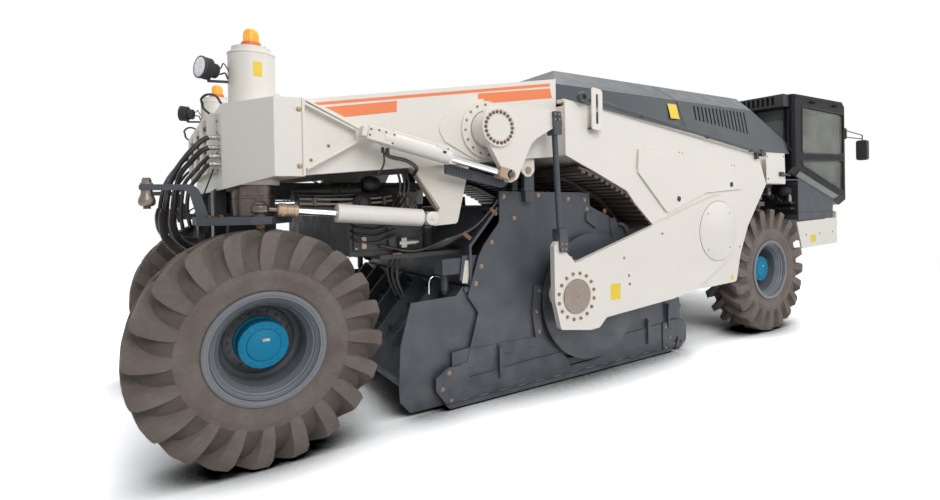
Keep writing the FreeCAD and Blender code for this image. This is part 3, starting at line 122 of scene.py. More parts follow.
@dataclass(frozen=True)
class Finish:
    """A surface finish made only from shader nodes."""

    name: str
    colour: Colour
    roughness: float = 0.4
    metallic: float = 0.0
    grain: Grain = Grain.ORANGE_PEEL
    bump: float = 0.05
    shade: float = 0.06
    dust_and_shade: float = 0.0
    dust_and_shade_colour: Colour = (0.33, 0.26, 0.19)
    dust_and_shade_top: float = 1.1
    worn: float = 0.0
    worn_colour: Colour = (0.30, 0.22, 0.16)
    coat: float = 0.0
    specular: float = 0.5

    def material(self) -> bpy.types.Material:
        """Builds the material once and returns it afterwards.

        Returns:
            The node-based material of this finish.
        """
        known = bpy.data.materials.get(self.name)
        if known:
            return known
        mat = bpy.data.materials.new(self.name)
        mat.use_nodes = True
        tree = mat.node_tree
        shader = tree.nodes["Principled BSDF"]
        shader.inputs["Metallic"].default_value = self.metallic
        shader.inputs["Specular IOR Level"].default_value = self.specular
        if self.coat:
            shader.inputs["Coat Weight"].default_value = self.coat
            shader.inputs["Coat Roughness"].default_value = 0.12
        place = tree.nodes.new("ShaderNodeTexCoord")
        colour = self._mottled(tree, place)
        if self.worn:
            colour = self._worn_edges(tree, place, colour)
        if self.dust_and_shade:
            colour = self._dusty_and_shaded(tree, place, colour)
        tree.links.new(colour, shader.inputs["Base Color"])
        self._rough(tree, place, shader)
        self._bumped(tree, place, shader)
        return mat

    def _noise(self, tree: bpy.types.NodeTree, place: bpy.types.Node, scale: float, detail: float = 4.0,
               stretch: Point = (1.0, 1.0, 1.0)) -> bpy.types.NodeSocket:
        """A noise pattern in metres.

        Args:
            tree: Material's node tree.
            place: Texture coordinate node.
            scale: Pattern's scale.
            detail: Octaves.
            stretch: Scale of each axis.

        Returns:
            The noise's factor socket.
        """
        mapping = tree.nodes.new("ShaderNodeMapping")
        mapping.inputs["Scale"].default_value = stretch
        noise = tree.nodes.new("ShaderNodeTexNoise")
        noise.inputs["Scale"].default_value = scale
        noise.inputs["Detail"].default_value = detail
        tree.links.new(place.outputs["Object"], mapping.inputs["Vector"])
        tree.links.new(mapping.outputs["Vector"], noise.inputs["Vector"])
        return noise.outputs["Fac"]

    def _mix(self, tree: bpy.types.NodeTree, factor: bpy.types.NodeSocket, one: object,
             two: object) -> bpy.types.NodeSocket:
        """Mixes two colours, each a socket or a plain colour.

        Args:
            tree: Material's node tree.
            factor: Socket with the share of the second colour.
            one: First colour.
            two: Second colour.

        Returns:
            The mixed colour's socket.
        """
        mix = tree.nodes.new("ShaderNodeMix")
        mix.data_type = "RGBA"
        tree.links.new(factor, mix.inputs[0])
        for value, socket in ((one, mix.inputs[6]), (two, mix.inputs[7])):
            if isinstance(value, bpy.types.NodeSocket):
                tree.links.new(value, socket)
            else:
                socket.default_value = (*value, 1.0)
        return mix.outputs[2]

    def _ramp(self, tree: bpy.types.NodeTree, value: bpy.types.NodeSocket, low: float, high: float,
              to_low: float = 0.0, to_high: float = 1.0) -> bpy.types.NodeSocket:
        """Maps a value's range to another, clamped.

        Args:
            tree: Material's node tree.
            value: Socket to map.
            low: Where the input range starts.
            high: Where the input range ends.
            to_low: Output at low.
            to_high: Output at high.

        Returns:
            The mapped socket.
        """
        span = tree.nodes.new("ShaderNodeMapRange")
        for key, number in (("From Min", low), ("From Max", high), ("To Min", to_low), ("To Max", to_high)):
            span.inputs[key].default_value = number
        tree.links.new(value, span.inputs["Value"])
        return span.outputs["Result"]

    def _times(self, tree: bpy.types.NodeTree, one: bpy.types.NodeSocket, two: object) -> bpy.types.NodeSocket:
        """The product of two values.

        Args:
            tree: Material's node tree.
            one: First socket.
            two: Second socket or number.

        Returns:
            The product's socket.
        """
        node = tree.nodes.new("ShaderNodeMath")
        node.operation = "MULTIPLY"
        tree.links.new(one, node.inputs[0])
        if isinstance(two, bpy.types.NodeSocket):
            tree.links.new(two, node.inputs[1])
        else:
            node.inputs[1].default_value = two
        return node.outputs["Value"]

    def _mottled(self, tree: bpy.types.NodeTree, place: bpy.types.Node) -> bpy.types.NodeSocket:
        """The base colour with slow and fine variation.

        Args:
            tree: Node tree of the material.
            place: Texture coordinates that the noise reads.

        Returns:
            The colour.
        """
        deep = tuple(c * (1.0 - 2.2 * self.shade) for c in self.colour)
        pale = tuple(min(1.0, c * (1.0 + self.shade)) for c in self.colour)
        slow = self._ramp(tree, self._noise(tree, place, 1.3, 3.0), 0.35, 0.68)
        fine = self._ramp(tree, self._noise(tree, place, 34.0, 6.0), 0.3, 0.75, 0.0, 0.55)
        base = self._mix(tree, slow, self.colour, pale)
        return self._mix(tree, fine, base, deep)

    def _worn_edges(self, tree: bpy.types.NodeTree, place: bpy.types.Node,
                    colour: bpy.types.NodeSocket) -> bpy.types.NodeSocket:
        """Rubs the finish through in scattered scratches and chips.

        Args:
            tree: Node tree of the material.
            place: Texture coordinates that the noise reads.
            colour: Colour so far.

        Returns:
            The colour with its wear.
        """
        chips = self._ramp(tree, self._noise(tree, place, 60.0, 8.0), 0.62, 0.70)
        zones = self._ramp(tree, self._noise(tree, place, 3.1, 2.0), 0.45, 0.62)
        return self._mix(tree, self._times(tree, self._times(tree, chips, zones), self.worn), colour,
                         self.worn_colour)

    def _dusty_and_shaded(self, tree: bpy.types.NodeTree, place: bpy.types.Node,
               colour: bpy.types.NodeSocket) -> bpy.types.NodeSocket:
        """Lays dust on the lower parts, broken up by noise; on the tyres this darkening towards the bottom is painted
        shade.

        Args:
            tree: Node tree of the material.
            place: Texture coordinates that the noise reads.
            colour: Colour so far.

        Returns:
            The colour under its dust.
        """
        split = tree.nodes.new("ShaderNodeSeparateXYZ")
        tree.links.new(place.outputs["Object"], split.inputs["Vector"])
        height = self._ramp(tree, split.outputs["Z"], 0.0, self.dust_and_shade_top, 1.0, 0.25)
        cloud = self._ramp(tree, self._noise(tree, place, 5.0, 9.0), 0.36, 0.72)
        share = self._times(tree, self._times(tree, height, cloud), self.dust_and_shade)
        return self._mix(tree, share, colour, self.dust_and_shade_colour)

    def _rough(self, tree: bpy.types.NodeTree, place: bpy.types.Node, shader: bpy.types.Node) -> None:
        """Breaks the gloss up a little.

        Args:
            tree: Node tree of the material.
            place: Texture coordinates that the noise reads.
            shader: Shader that takes the roughness.
        """
        spread = self._ramp(tree, self._noise(tree, place, 7.0, 6.0), 0.3, 0.7, self.roughness * 0.85,
                            min(1.0, self.roughness * 1.2 + 0.03))
        tree.links.new(spread, shader.inputs["Roughness"])

    def _bumped(self, tree: bpy.types.NodeTree, place: bpy.types.Node, shader: bpy.types.Node) -> None:
        """Adds the grain's relief.

        Args:
            tree: Node tree of the material.
            place: Texture coordinates that the noise reads.
            shader: Shader that takes the normal.
        """
        scale, depth, stretch = {
            Grain.ORANGE_PEEL: (240.0, 0.0006, (1.0, 1.0, 1.0)),
            Grain.CAST: (70.0, 0.003, (1.0, 1.0, 1.0)),
            Grain.BRUSHED: (400.0, 0.0005, (1.0, 0.05, 1.0)),
            Grain.RUBBER: (90.0, 0.002, (1.0, 1.0, 1.0)),
            Grain.MOULDED: (180.0, 0.001, (1.0, 1.0, 1.0)),
        }[self.grain]
        bump = tree.nodes.new("ShaderNodeBump")
        bump.inputs["Strength"].default_value = min(1.0, self.bump * 6.0)
        bump.inputs["Distance"].default_value = depth
        tree.links.new(self._noise(tree, place, scale, 5.0, stretch), bump.inputs["Height"])
        tree.links.new(bump.outputs["Normal"], shader.inputs["Normal"])


@dataclass(frozen=True)
class Clear:
    """A see-through finish: window glass or a lamp's lens. Its colour is mottled with slow darker patches, which in the
    window pane are painted reflections.
    """

    name: str
    colour: Colour
    alpha: float
    roughness: float = 0.05
    glow: float = 0.0
    shade: float = 0.15
    scale: float = 3.0

    def material(self) -> bpy.types.Material:
        """Builds the material once and returns it afterwards.

        Returns:
            The see-through material.
        """
        known = bpy.data.materials.get(self.name)
        if known:
            return known
        mat = bpy.data.materials.new(self.name)
        mat.use_nodes = True
        tree = mat.node_tree
        shader = tree.nodes["Principled BSDF"]
        shader.inputs["Alpha"].default_value = self.alpha
        shader.inputs["IOR"].default_value = 1.5
        if self.glow:
            shader.inputs["Emission Color"].default_value = (*self.colour, 1.0)
            shader.inputs["Emission Strength"].default_value = self.glow
        place = tree.nodes.new("ShaderNodeTexCoord")
        noise = tree.nodes.new("ShaderNodeTexNoise")
        noise.inputs["Scale"].default_value = self.scale
        noise.inputs["Detail"].default_value = 6.0
        tree.links.new(place.outputs["Object"], noise.inputs["Vector"])
        ramp = tree.nodes.new("ShaderNodeMapRange")
        ramp.inputs["To Min"].default_value = self.roughness
        ramp.inputs["To Max"].default_value = self.roughness * 2.5 + 0.02
        tree.links.new(noise.outputs["Fac"], ramp.inputs["Value"])
        tree.links.new(ramp.outputs["Result"], shader.inputs["Roughness"])
        # Painted reflection: slow noise mottles the colour with darker patches, which in the window pane stand in for
        # reflections.
        mix = tree.nodes.new("ShaderNodeMix")
        mix.data_type = "RGBA"
        mix.inputs[6].default_value = (*self.colour, 1.0)
        mix.inputs[7].default_value = (*(c * (1.0 - self.shade) for c in self.colour), 1.0)
        cloud = tree.nodes.new("ShaderNodeMapRange")
        cloud.inputs["From Min"].default_value = 0.38
        cloud.inputs["From Max"].default_value = 0.62
        tree.links.new(noise.outputs["Fac"], cloud.inputs["Value"])
        tree.links.new(cloud.outputs["Result"], mix.inputs[0])
        tree.links.new(mix.outputs[2], shader.inputs["Base Color"])
        return mat


CREAM = Finish("cream_paint", (0.79, 0.750, 0.685), 0.40, bump=0.04, shade=0.025, dust_and_shade=0.10, coat=0.15,
               dust_and_shade_top=2.0, dust_and_shade_colour=(0.60, 0.52, 0.43))
CREAM_SOILED = Finish("cream_paint_low", (0.76, 0.71, 0.635), 0.45, bump=0.05, shade=0.04, dust_and_shade=0.28, dust_and_shade_top=2.6,
                      dust_and_shade_colour=(0.48, 0.40, 0.32))
SLATE = Finish("slate_paint", (0.052, 0.059, 0.071), 0.42, bump=0.05, shade=0.05, dust_and_shade=0.50, specular=0.4,
               dust_and_shade_colour=(0.155, 0.158, 0.165), dust_and_shade_top=1.45)
# Painted sheen: the hood's slate is a lighter copy of the slate paint, for the sky's light on its top.
SLATE_LIT = Finish("slate_paint_lit", (0.060, 0.071, 0.080), 0.34, bump=0.04, shade=0.04, dust_and_shade=0.06, specular=0.4,
                   dust_and_shade_top=4.0, dust_and_shade_colour=(0.12, 0.13, 0.135))
DARK_STEEL = Finish("dark_steel", (0.030, 0.029, 0.030), 0.5, metallic=0.2, grain=Grain.CAST, bump=0.08, shade=0.2,
                    dust_and_shade=0.25, dust_and_shade_colour=(0.12, 0.10, 0.085))
SLAT_BROWN = Finish("slat_brown", (0.066, 0.050, 0.040), 0.55, bump=0.05, shade=0.12, dust_and_shade=0.2, dust_and_shade_top=2.5,
                    dust_and_shade_colour=(0.20, 0.15, 0.11))
EDGE_TAN = Finish("soiled_edge", (0.46, 0.385, 0.31), 0.5, bump=0.06, shade=0.10)
OILY_STEEL = Finish("oily_steel", (0.13, 0.105, 0.09), 0.32, metallic=0.75, grain=Grain.BRUSHED, bump=0.04,
                    shade=0.25)
BRONZE = Finish("bare_bronze", (0.43, 0.31, 0.215), 0.42, metallic=0.35, bump=0.05, shade=0.10)
ORANGE = Finish("orange_stripe", (0.86, 0.235, 0.085), 0.4, bump=0.03, shade=0.03)
BEACON_BASE = Finish("beacon_base", (0.80, 0.17, 0.045), 0.4, bump=0.03, shade=0.05)
BLUE = Finish("hub_blue", (0.003, 0.205, 0.365), 0.50, bump=0.05, shade=0.08, dust_and_shade=0.06, specular=0.25)
RIM_GREY = Finish("rim_grey", (0.150, 0.160, 0.176), 0.40, bump=0.05, shade=0.06, dust_and_shade=0.22, coat=0.05,
                  dust_and_shade_colour=(0.19, 0.18, 0.17))
# Painted shade: a dark grey for the wheel disc deep in the rim's well.
DISC_SHADE = Finish("wheel_disc_painted_shade", (0.070, 0.073, 0.079), 0.45, bump=0.05, shade=0.08, dust_and_shade=0.3,
                   dust_and_shade_colour=(0.085, 0.078, 0.070))
BLACK_PAINT = Finish("cab_black", (0.0095, 0.009, 0.012), 0.34, bump=0.03, shade=0.1, dust_and_shade=0.02, dust_and_shade_top=3.5,
                     dust_and_shade_colour=(0.10, 0.09, 0.08), specular=0.12)
BLACK_PLASTIC = Finish("black_plastic", (0.022, 0.022, 0.024), 0.55, grain=Grain.MOULDED, bump=0.1, shade=0.2,
                       dust_and_shade=0.1, dust_and_shade_top=3.0)
SEAL_RUBBER = Finish("seal_rubber", (0.010, 0.010, 0.011), 0.6, grain=Grain.MOULDED, bump=0.06, shade=0.2)
HOSE = Finish("hose_rubber", (0.014, 0.0135, 0.014), 0.38, grain=Grain.MOULDED, bump=0.12, shade=0.25, dust_and_shade=0.06,
              dust_and_shade_top=3.0)
# Painted shade: the tyre's dark 'dust' makes its lower part darker, for the shade that falls there.
TYRE = Finish("tyre_rubber", (0.150, 0.124, 0.106), 0.72, grain=Grain.RUBBER, bump=0.16, shade=0.16, dust_and_shade=0.95,
              dust_and_shade_colour=(0.098, 0.070, 0.060), dust_and_shade_top=1.9)
# Painted shade: the casing between the lugs is darker than the lugs, for the shade in the recesses; like the tyre it
# darkens towards the bottom.
TYRE_GROOVE_SHADE = Finish("tyre_groove_painted_shade", (0.100, 0.082, 0.070), 0.78, grain=Grain.RUBBER, bump=0.16, shade=0.16, dust_and_shade=0.95,
                     dust_and_shade_colour=(0.062, 0.043, 0.037), dust_and_shade_top=1.9)
CHROME = Finish("chrome", (0.62, 0.62, 0.63), 0.16, metallic=1.0, grain=Grain.BRUSHED, bump=0.02, shade=0.03)
ZINC = Finish("yellow_zinc", (0.30, 0.215, 0.135), 0.42, metallic=0.7, bump=0.06, shade=0.18)
BOLT_BROWN = Finish("oiled_bolts", (0.145, 0.088, 0.050), 0.45, metallic=0.55, bump=0.06, shade=0.2)
PLATED = Finish("plated_fitting", (0.33, 0.32, 0.30), 0.38, metallic=0.7, bump=0.05, shade=0.15)
SLEEVE = Finish("corrugated_sleeve", (0.034, 0.034, 0.035), 0.42, grain=Grain.MOULDED, bump=0.08, shade=0.2,
                dust_and_shade=0.2, dust_and_shade_top=3.0)
CAST_IRON = Finish("machined_iron", (0.20, 0.165, 0.14), 0.40, metallic=0.8, grain=Grain.BRUSHED, bump=0.06,
                   shade=0.12)
PICK_STEEL = Finish("pick_steel", (0.16, 0.12, 0.095), 0.5, metallic=0.7, grain=Grain.CAST, bump=0.1, shade=0.2,
                    dust_and_shade=0.3)
LABEL = Finish("yellow_plate", (0.84, 0.60, 0.055), 0.45, bump=0.02, shade=0.04)
MIRROR_SKIN = Finish("mirror_glass", (0.75, 0.76, 0.77), 0.04, metallic=1.0, bump=0.0, shade=0.01)
FABRIC = Finish("seat_fabric", (0.045, 0.047, 0.052), 0.85, grain=Grain.MOULDED, bump=0.16, shade=0.2)
# Painted reflection: a pale, strongly mottled glass colour for the reflections in the cab's windows.
PANE_PAINTED_REFLECTION = Clear("window_pane_painted_reflection", (0.22, 0.233, 0.200), 0.62, shade=0.42, scale=2.6)
AMBER = Clear("amber_lens", (0.98, 0.47, 0.03), 0.92, 0.12, 0.25)
PANE_PALE = Clear("sill_glass", (0.30, 0.33, 0.31), 0.80)
LAMP_GLASS = Clear("lamp_glass", (0.86, 0.88, 0.90), 0.95, 0.08, 0.12)


# ---------------------------------------------------------------- mesh work
class Maker:
    """Collects one piece's faces and turns them into an object."""

    def __init__(self, name: str) -> None:
        """Starts an empty piece.

        Args:
            name: Name of the finished object.
        """
        self.name = name
        self.bm = bmesh.new()

    def slab(self, low: Point, high: Point, turn: Matrix | None = None) -> list[bmesh.types.BMVert]:
        """A block between two corners.

        Args:
            low: Lowest corner.
            high: Highest corner.
            turn: Matrix applied to the corners.

        Returns:
            The new vertices.
        """
        (x0, y0, z0), (x1, y1, z1) = low, high
        corners = [(x0, y0, z0), (x1, y0, z0), (x1, y1, z0), (x0, y1, z0),
                   (x0, y0, z1), (x1, y0, z1), (x1, y1, z1), (x0, y1, z1)]
        verts = [self.bm.verts.new(turn @ Vector(c) if turn else c) for c in corners]
        for ids in ((3, 2, 1, 0), (4, 5, 6, 7), (0, 1, 5, 4), (1, 2, 6, 5), (2, 3, 7, 6), (3, 0, 4, 7)):
            self.bm.faces.new([verts[i] for i in ids])
        return verts

    def block(self, low: Point, high: Point) -> None:
        """A block between two corners, given by distance ahead of the rear axle.

        Args:
            low: Lowest corner.
            high: Highest corner.
        """
        self.slab(tuple(at(*low)), tuple(at(*high)))

    def bar(self, start: Vector, end: Vector, wide: float, deep: float, up: Vector = UP) -> None:
        """A straight flat bar.

        Args:
            start: Centre of one end.
            end: Centre of the other end.
            wide: Size along up.
            deep: Size across both.
            up: The way its width runs, made square to the bar.
        """
        along = (end - start).normalized()
        rise = (up - along * up.dot(along)).normalized()
        across = along.cross(rise)
        rings = []
        for spot in (start, end):
            rings.append([self.bm.verts.new(spot + rise * (a * wide / 2) + across * (b * deep / 2))
                          for a, b in ((-1, -1), (1, -1), (1, 1), (-1, 1))])
        self._skirt(rings[0], rings[1])
        self.bm.faces.new(list(reversed(rings[0])))
        self.bm.faces.new(rings[1])

    def wrap(self, centre: Vector, radius: float, angles: Pair, heights: Pair, thick: float = 0.001) -> None:
        """A thin plate bent round an upright cylinder.

        Args:
            centre: A point on the cylinder's axis.
            radius: The cylinder's radius.
            angles: Where the plate starts and ends, in radians.
            heights: Its lower and upper edge.
            thick: How far it stands proud.
        """
        steps = 8
        grid = []
        for r in (radius, radius + thick):
            for z in heights:
                grid.append([self.bm.verts.new((centre.x + r * math.cos(a), centre.y + r * math.sin(a), z))
                             for a in [angles[0] + (angles[1] - angles[0]) * i / steps for i in range(steps + 1)]])
        for one, two in ((0, 1), (1, 3), (3, 2), (2, 0)):
            for i in range(steps):
                self.bm.faces.new((grid[one][i], grid[one][i + 1], grid[two][i + 1], grid[two][i]))
        for i in (0, steps):
            self.bm.faces.new([grid[k][i] for k in (0, 1, 3, 2)])

    def outline_tube(self, outline: list[Pair], y: float, radius: float, corner: float) -> None:
        """A closed round strip along an outline in XZ with rounded corners.

        Args:
            outline: Corners, by distance ahead of the rear axle and height.
            y: Where the strip lies.
            radius: The strip's radius.
            corner: How far from each corner its bend starts.
        """
        path = []
        count = len(outline)
        for i, (x, z) in enumerate(outline):
            here = at(x, y, z)
            before = (at(outline[i - 1][0], y, outline[i - 1][1]) - here).normalized() * corner
            after = (at(outline[(i + 1) % count][0], y, outline[(i + 1) % count][1]) - here).normalized() * corner
            for t in (0.0, 0.25, 0.5, 0.75, 1.0):
                path.append(here + before * (1 - t) ** 2 + after * t ** 2)
        self.tube(path + [path[0]], radius, 8, smooth=False)

    def plate(self, outline: list[Pair], y0: float, y1: float, rim: float = 0.0) -> None:
        """A flat plate with an outline in XZ, in distance ahead of the rear axle and height.

        Args:
            outline: Corners, either way round.
            y0: One face.
            y1: The other face.
            rim: Width of the chamfer round the outer face y1.
        """
        ring0 = [self.bm.verts.new(at(x, y0, z)) for x, z in outline]
        mid = y1 - math.copysign(rim, y1 - y0)
        ring1 = [self.bm.verts.new(at(x, mid, z)) for x, z in outline]
        self._skirt(ring0, ring1)
        if rim:
            cx = sum(x for x, _ in outline) / len(outline)
            cz = sum(z for _, z in outline) / len(outline)
            ring2 = []
            for x, z in outline:
                reach = math.hypot(x - cx, z - cz) or 1.0
                ring2.append(self.bm.verts.new(at(x - rim * (x - cx) / reach, y1, z - rim * (z - cz) / reach)))
            self._skirt(ring1, ring2)
            ring1 = ring2
        self.bm.faces.new(ring0)
        self.bm.faces.new(list(reversed(ring1)))

    def panel(self, corners: list[Vector], inward: Vector) -> None:
        """A thin plate through given corners.

        Args:
            corners: Corners of its outer face, in order.
            inward: From the outer face to the inner one.
        """
        front = [self.bm.verts.new(c) for c in corners]
        rear = [self.bm.verts.new(c + inward) for c in corners]
        self._skirt(front, rear)
        self.bm.faces.new(front)
        self.bm.faces.new(list(reversed(rear)))

    def _skirt(self, one: list[bmesh.types.BMVert], two: list[bmesh.types.BMVert]) -> None:
        """Joins two rings of as many vertices with quads.

        Args:
            one: First ring.
            two: Second ring.
        """
        count = len(one)
        for i in range(count):
            j = (i + 1) % count
            self.bm.faces.new((one[i], one[j], two[j], two[i]))

    def lathe(self, profile: list[Pair], centre: Vector, axis: Vector, segments: int = 48,
              ends: bool = True) -> None:
        """A turned shape.

        Args:
            profile: Pairs of radius and distance along the axis.
            centre: Where the axis starts.
            axis: Direction of the axis.
            segments: Faces round the axis.
            ends: Whether the first and last rings are closed.
        """
        frame = UP.rotation_difference(axis.normalized()).to_matrix()
        rings = []
        for radius, along in profile:
            ring = []
            for i in range(segments):
                a = 2 * math.pi * i / segments
                local = Vector((radius * math.cos(a), radius * math.sin(a), along))
                ring.append(self.bm.verts.new(centre + frame @ local))
            rings.append(ring)
        for one, two in zip(rings, rings[1:]):
            self._skirt(one, two)
        if ends:
            self.bm.faces.new(list(reversed(rings[0])))
            self.bm.faces.new(rings[-1])

    def bolt(self, centre: Vector, axis: Vector, radius: float, height: float, washer: bool = True) -> None:
        """A hexagon head with its washer.

        Args:
            centre: Foot of the head.
            axis: The way the head points.
            radius: Half the distance across corners.
            height: Height of the head.
            washer: Whether a washer lies under the head.
        """
        if washer:
            self.lathe([(radius * 1.35, 0.0), (radius * 1.35, height * 0.2)], centre, axis, 16)
        self.lathe([(radius, 0.0), (radius, height * 0.85), (radius * 0.8, height)], centre, axis, 6)
        self.lathe([(radius * 0.45, height * 0.9), (radius * 0.45, height * 1.2)], centre, axis, 8)

    def ring_of_bolts(self, centre: Vector, axis: Vector, pitch: float, count: int, radius: float, height: float,
                      start: float = 0.0, washer: bool = True) -> None:
        """Bolts in a circle.

        Args:
            centre: Circle's centre.
            axis: The way the heads point.
            pitch: Circle's radius.
            count: Number of bolts.
            radius: Half the distance across a head's corners.
            height: Height of a head.
            start: First bolt's angle in radians.
            washer: Whether washers lie under the heads.
        """
        frame = UP.rotation_difference(axis.normalized()).to_matrix()
        for i in range(count):
            a = start + 2 * math.pi * i / count
            spot = centre + frame @ Vector((pitch * math.cos(a), pitch * math.sin(a), 0))
            self.bolt(spot, axis, radius, height, washer)

    def tube(self, path: list[Vector], radius: float, segments: int = 12, ribs: float = 0.0,
             smooth: bool = True) -> None:
        """A round tube along smooth points.

        Args:
            path: Points to pass through.
            radius: Tube's radius.
            segments: Faces round it.
            ribs: Depth of a corrugation, 0 for a plain tube.
            smooth: Whether the way between the points is rounded.
        """
        points = smooth_path(path, 8 if not ribs else 18) if len(path) > 2 and smooth else path
        rings = []
        side = None
        for i, p in enumerate(points):
            ahead = (points[min(i + 1, len(points) - 1)] - points[max(i - 1, 0)]).normalized()
            if side is None:
                side = ahead.orthogonal().normalized()
            side = (side - ahead * side.dot(ahead)).normalized()
            other = ahead.cross(side)
            r = radius - (ribs if ribs and i % 2 else 0.0)
            rings.append([self.bm.verts.new(p + side * (r * math.cos(2 * math.pi * k / segments))
                                            + other * (r * math.sin(2 * math.pi * k / segments)))
                          for k in range(segments)])
        for one, two in zip(rings, rings[1:]):
            self._skirt(one, two)
        self.bm.faces.new(list(reversed(rings[0])))
        self.bm.faces.new(rings[-1])

    def done(self, finish: Finish | Clear, body: str, soften: float = 35.0, bevel: float = 0.0,
             replaces: tuple[str, ...] = ()) -> bpy.types.Object:
        """Makes the object, gives it its finish and sets it on its body.

        Args:
            finish: Surface finish.
            body: CAD body that carries it.
            soften: Edges flatter than this angle in degrees are shaded smooth.
            bevel: Width of a bevel on its edges.
            replaces: CAD nodes that the piece stands for.

        Returns:
            The finished object.
        """
        bmesh.ops.recalc_face_normals(self.bm, faces=self.bm.faces)
        mesh = bpy.data.meshes.new(self.name)
        self.bm.to_mesh(mesh)
        self.bm.free()
        mesh.polygons.foreach_set("use_smooth", [True] * len(mesh.polygons))
        mesh.set_sharp_from_angle(angle=math.radians(soften))
        piece = bpy.data.objects.new(self.name, mesh)
        bpy.context.scene.collection.objects.link(piece)
        mesh.materials.append(finish.material())
        if bevel:
            edge = piece.modifiers.new("edges", "BEVEL")
            edge.width = bevel
            edge.segments = 2
            edge.limit_method = "ANGLE"
            edge.angle_limit = math.radians(40)
        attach(piece, body)
        if replaces:
            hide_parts(*replaces)
        LOG.info("%s: %d faces on %s", self.name, len(mesh.polygons), body)
        return piece


def smooth_path(points: list[Vector], steps: int) -> list[Vector]:
    """Points along a smooth curve through the given ones.

    Args:
        points: Points to pass through.
        steps: Points for each stretch.

    Returns:
        The finer path.
    """
    out = []
    ends = [points[0] * 2 - points[1]] + points + [points[-1] * 2 - points[-2]]
    for i in range(1, len(ends) - 2):
        p0, p1, p2, p3 = ends[i - 1:i + 3]
        for k in range(steps):
            t = k / steps
            out.append(0.5 * ((2 * p1) + (p2 - p0) * t + (2 * p0 - 5 * p1 + 4 * p2 - p3) * t * t
                              + (3 * p1 - p0 - 3 * p2 + p3) * t ** 3))
    out.append(points[-1])
    return out


# ---------------------------------------------------------------- wheels
@dataclass
class Tyres:
    """The four lugged tyres."""

    lugs: int = 20
    half_width: float = 0.2345
    tip: float = 0.7495
    mid_y: float = 1.22
    centre_z: float = 0.75
    # Radius from which the casing takes the darker crown finish, the painted shade between the lugs.
    crown_shade_foot: float = 0.53
    wall: list[Pair] = field(default_factory=lambda: [
        (0.337, 0.158), (0.350, 0.188), (0.358, 0.205), (0.368, 0.2125), (0.384, 0.2155), (0.40, 0.218), (0.44, 0.224),
        (0.458, 0.2275), (0.466, 0.2265), (0.50, 0.222), (0.54, 0.215), (0.58, 0.206), (0.62, 0.194), (0.655, 0.177),
        (0.682, 0.150), (0.695, 0.100), (0.700, 0.04)])

    def build(self) -> None:
        """Makes a tyre on each wheel."""
        for name, ahead, _, side in corners():
            self._tyre(name, at(ahead, side * self.mid_y, self.centre_z))

    def _tyre(self, name: str, centre: Vector) -> None:
        """Makes one tyre: the casing and both rows of lugs. The casing on the crown, between the lugs, is darker than
        the walls, a painted shade in the recesses.

        Args:
            name: Which wheel it is on.
            centre: Centre of the wheel.
        """
        maker = Maker(f"tyre_tread_{name}")
        groove_shade = Maker(f"tyre_grooves_{name}")
        axis = ACROSS
        walls = [p for p in self.wall if p[0] < self.crown_shade_foot]
        crown = [walls[-1]] + [p for p in self.wall if p[0] >= self.crown_shade_foot]
        inner = [(r, -y) for r, y in walls]
        maker.lathe(walls, centre, axis, 120, ends=False)
        maker.lathe([walls[0]] + inner, centre, axis, 120, ends=False)
        groove_shade.lathe(crown + [(r, -y) for r, y in reversed(crown)], centre, axis, 120, ends=False)
        groove_shade.done(TYRE_GROOVE_SHADE, f"wheel_{name}", 28.0)
        for i in range(self.lugs):
            for half in (-1, 1):
                start = 2 * math.pi * (i + (0.5 if half > 0 else 0.0)) / self.lugs
                self._lug(maker, centre, start, half)
        bmesh.ops.remove_doubles(maker.bm, verts=maker.bm.verts, dist=MERGE)
        maker.done(TYRE, f"wheel_{name}", 28.0, replaces=(f"tyre_{name}",))

    def _lug(self, maker: Maker, centre: Vector, start: float, half: int) -> None:
        """One lug, from the middle of the tread down over the shoulder.

        Args:
            maker: Piece that takes the faces.
            centre: Centre of the wheel.
            start: Angle of its inner end.
            half: Which half of the tread it is on.
        """
        tip, edge = self.tip, self.half_width
        stations = [  # outer y, outer radius, inner y, inner radius, turn, outer and inner half width
            (0.008, tip, 0.008, 0.69, 0.00, 0.030, 0.044),
            (0.07, tip, 0.07, 0.69, 0.075, 0.033, 0.048),
            (0.135, tip - 0.002, 0.12, 0.68, 0.155, 0.037, 0.054),
            (0.19, tip - 0.005, 0.155, 0.655, 0.215, 0.042, 0.060),
            (0.2235, tip - 0.013, 0.17, 0.635, 0.25, 0.045, 0.064),
            (edge, 0.705, 0.18, 0.615, 0.272, 0.045, 0.064),
            (edge, 0.640, 0.19, 0.59, 0.290, 0.042, 0.060),
            (edge - 0.001, 0.590, 0.20, 0.565, 0.300, 0.038, 0.054),
            (edge - 0.003, 0.545, 0.21, 0.530, 0.306, 0.033, 0.046),
            (edge - 0.008, 0.505, 0.217, 0.490, 0.310, 0.027, 0.036)]
        rows = []
        for y_out, r_out, y_in, r_in, turn, w_out, w_in in stations:
            row = []
            for y, r, w in ((y_in, r_in, -w_in), (y_out, r_out - 0.006, -w_out - 0.003),
                            (y_out - 0.001, r_out, -w_out + 0.006), (y_out - 0.001, r_out, w_out - 0.006),
                            (y_out, r_out - 0.006, w_out + 0.003), (y_in, r_in, w_in)):
                a = start + turn + w / r
                row.append(maker.bm.verts.new(centre + Vector((r * math.cos(a), half * y, r * math.sin(a)))))
            rows.append(row)
        for one, two in zip(rows, rows[1:]):
            for k in range(5):
                maker.bm.faces.new((one[k], one[k + 1], two[k + 1], two[k]))
        maker.bm.faces.new(rows[0])
        maker.bm.faces.new(list(reversed(rows[-1])))


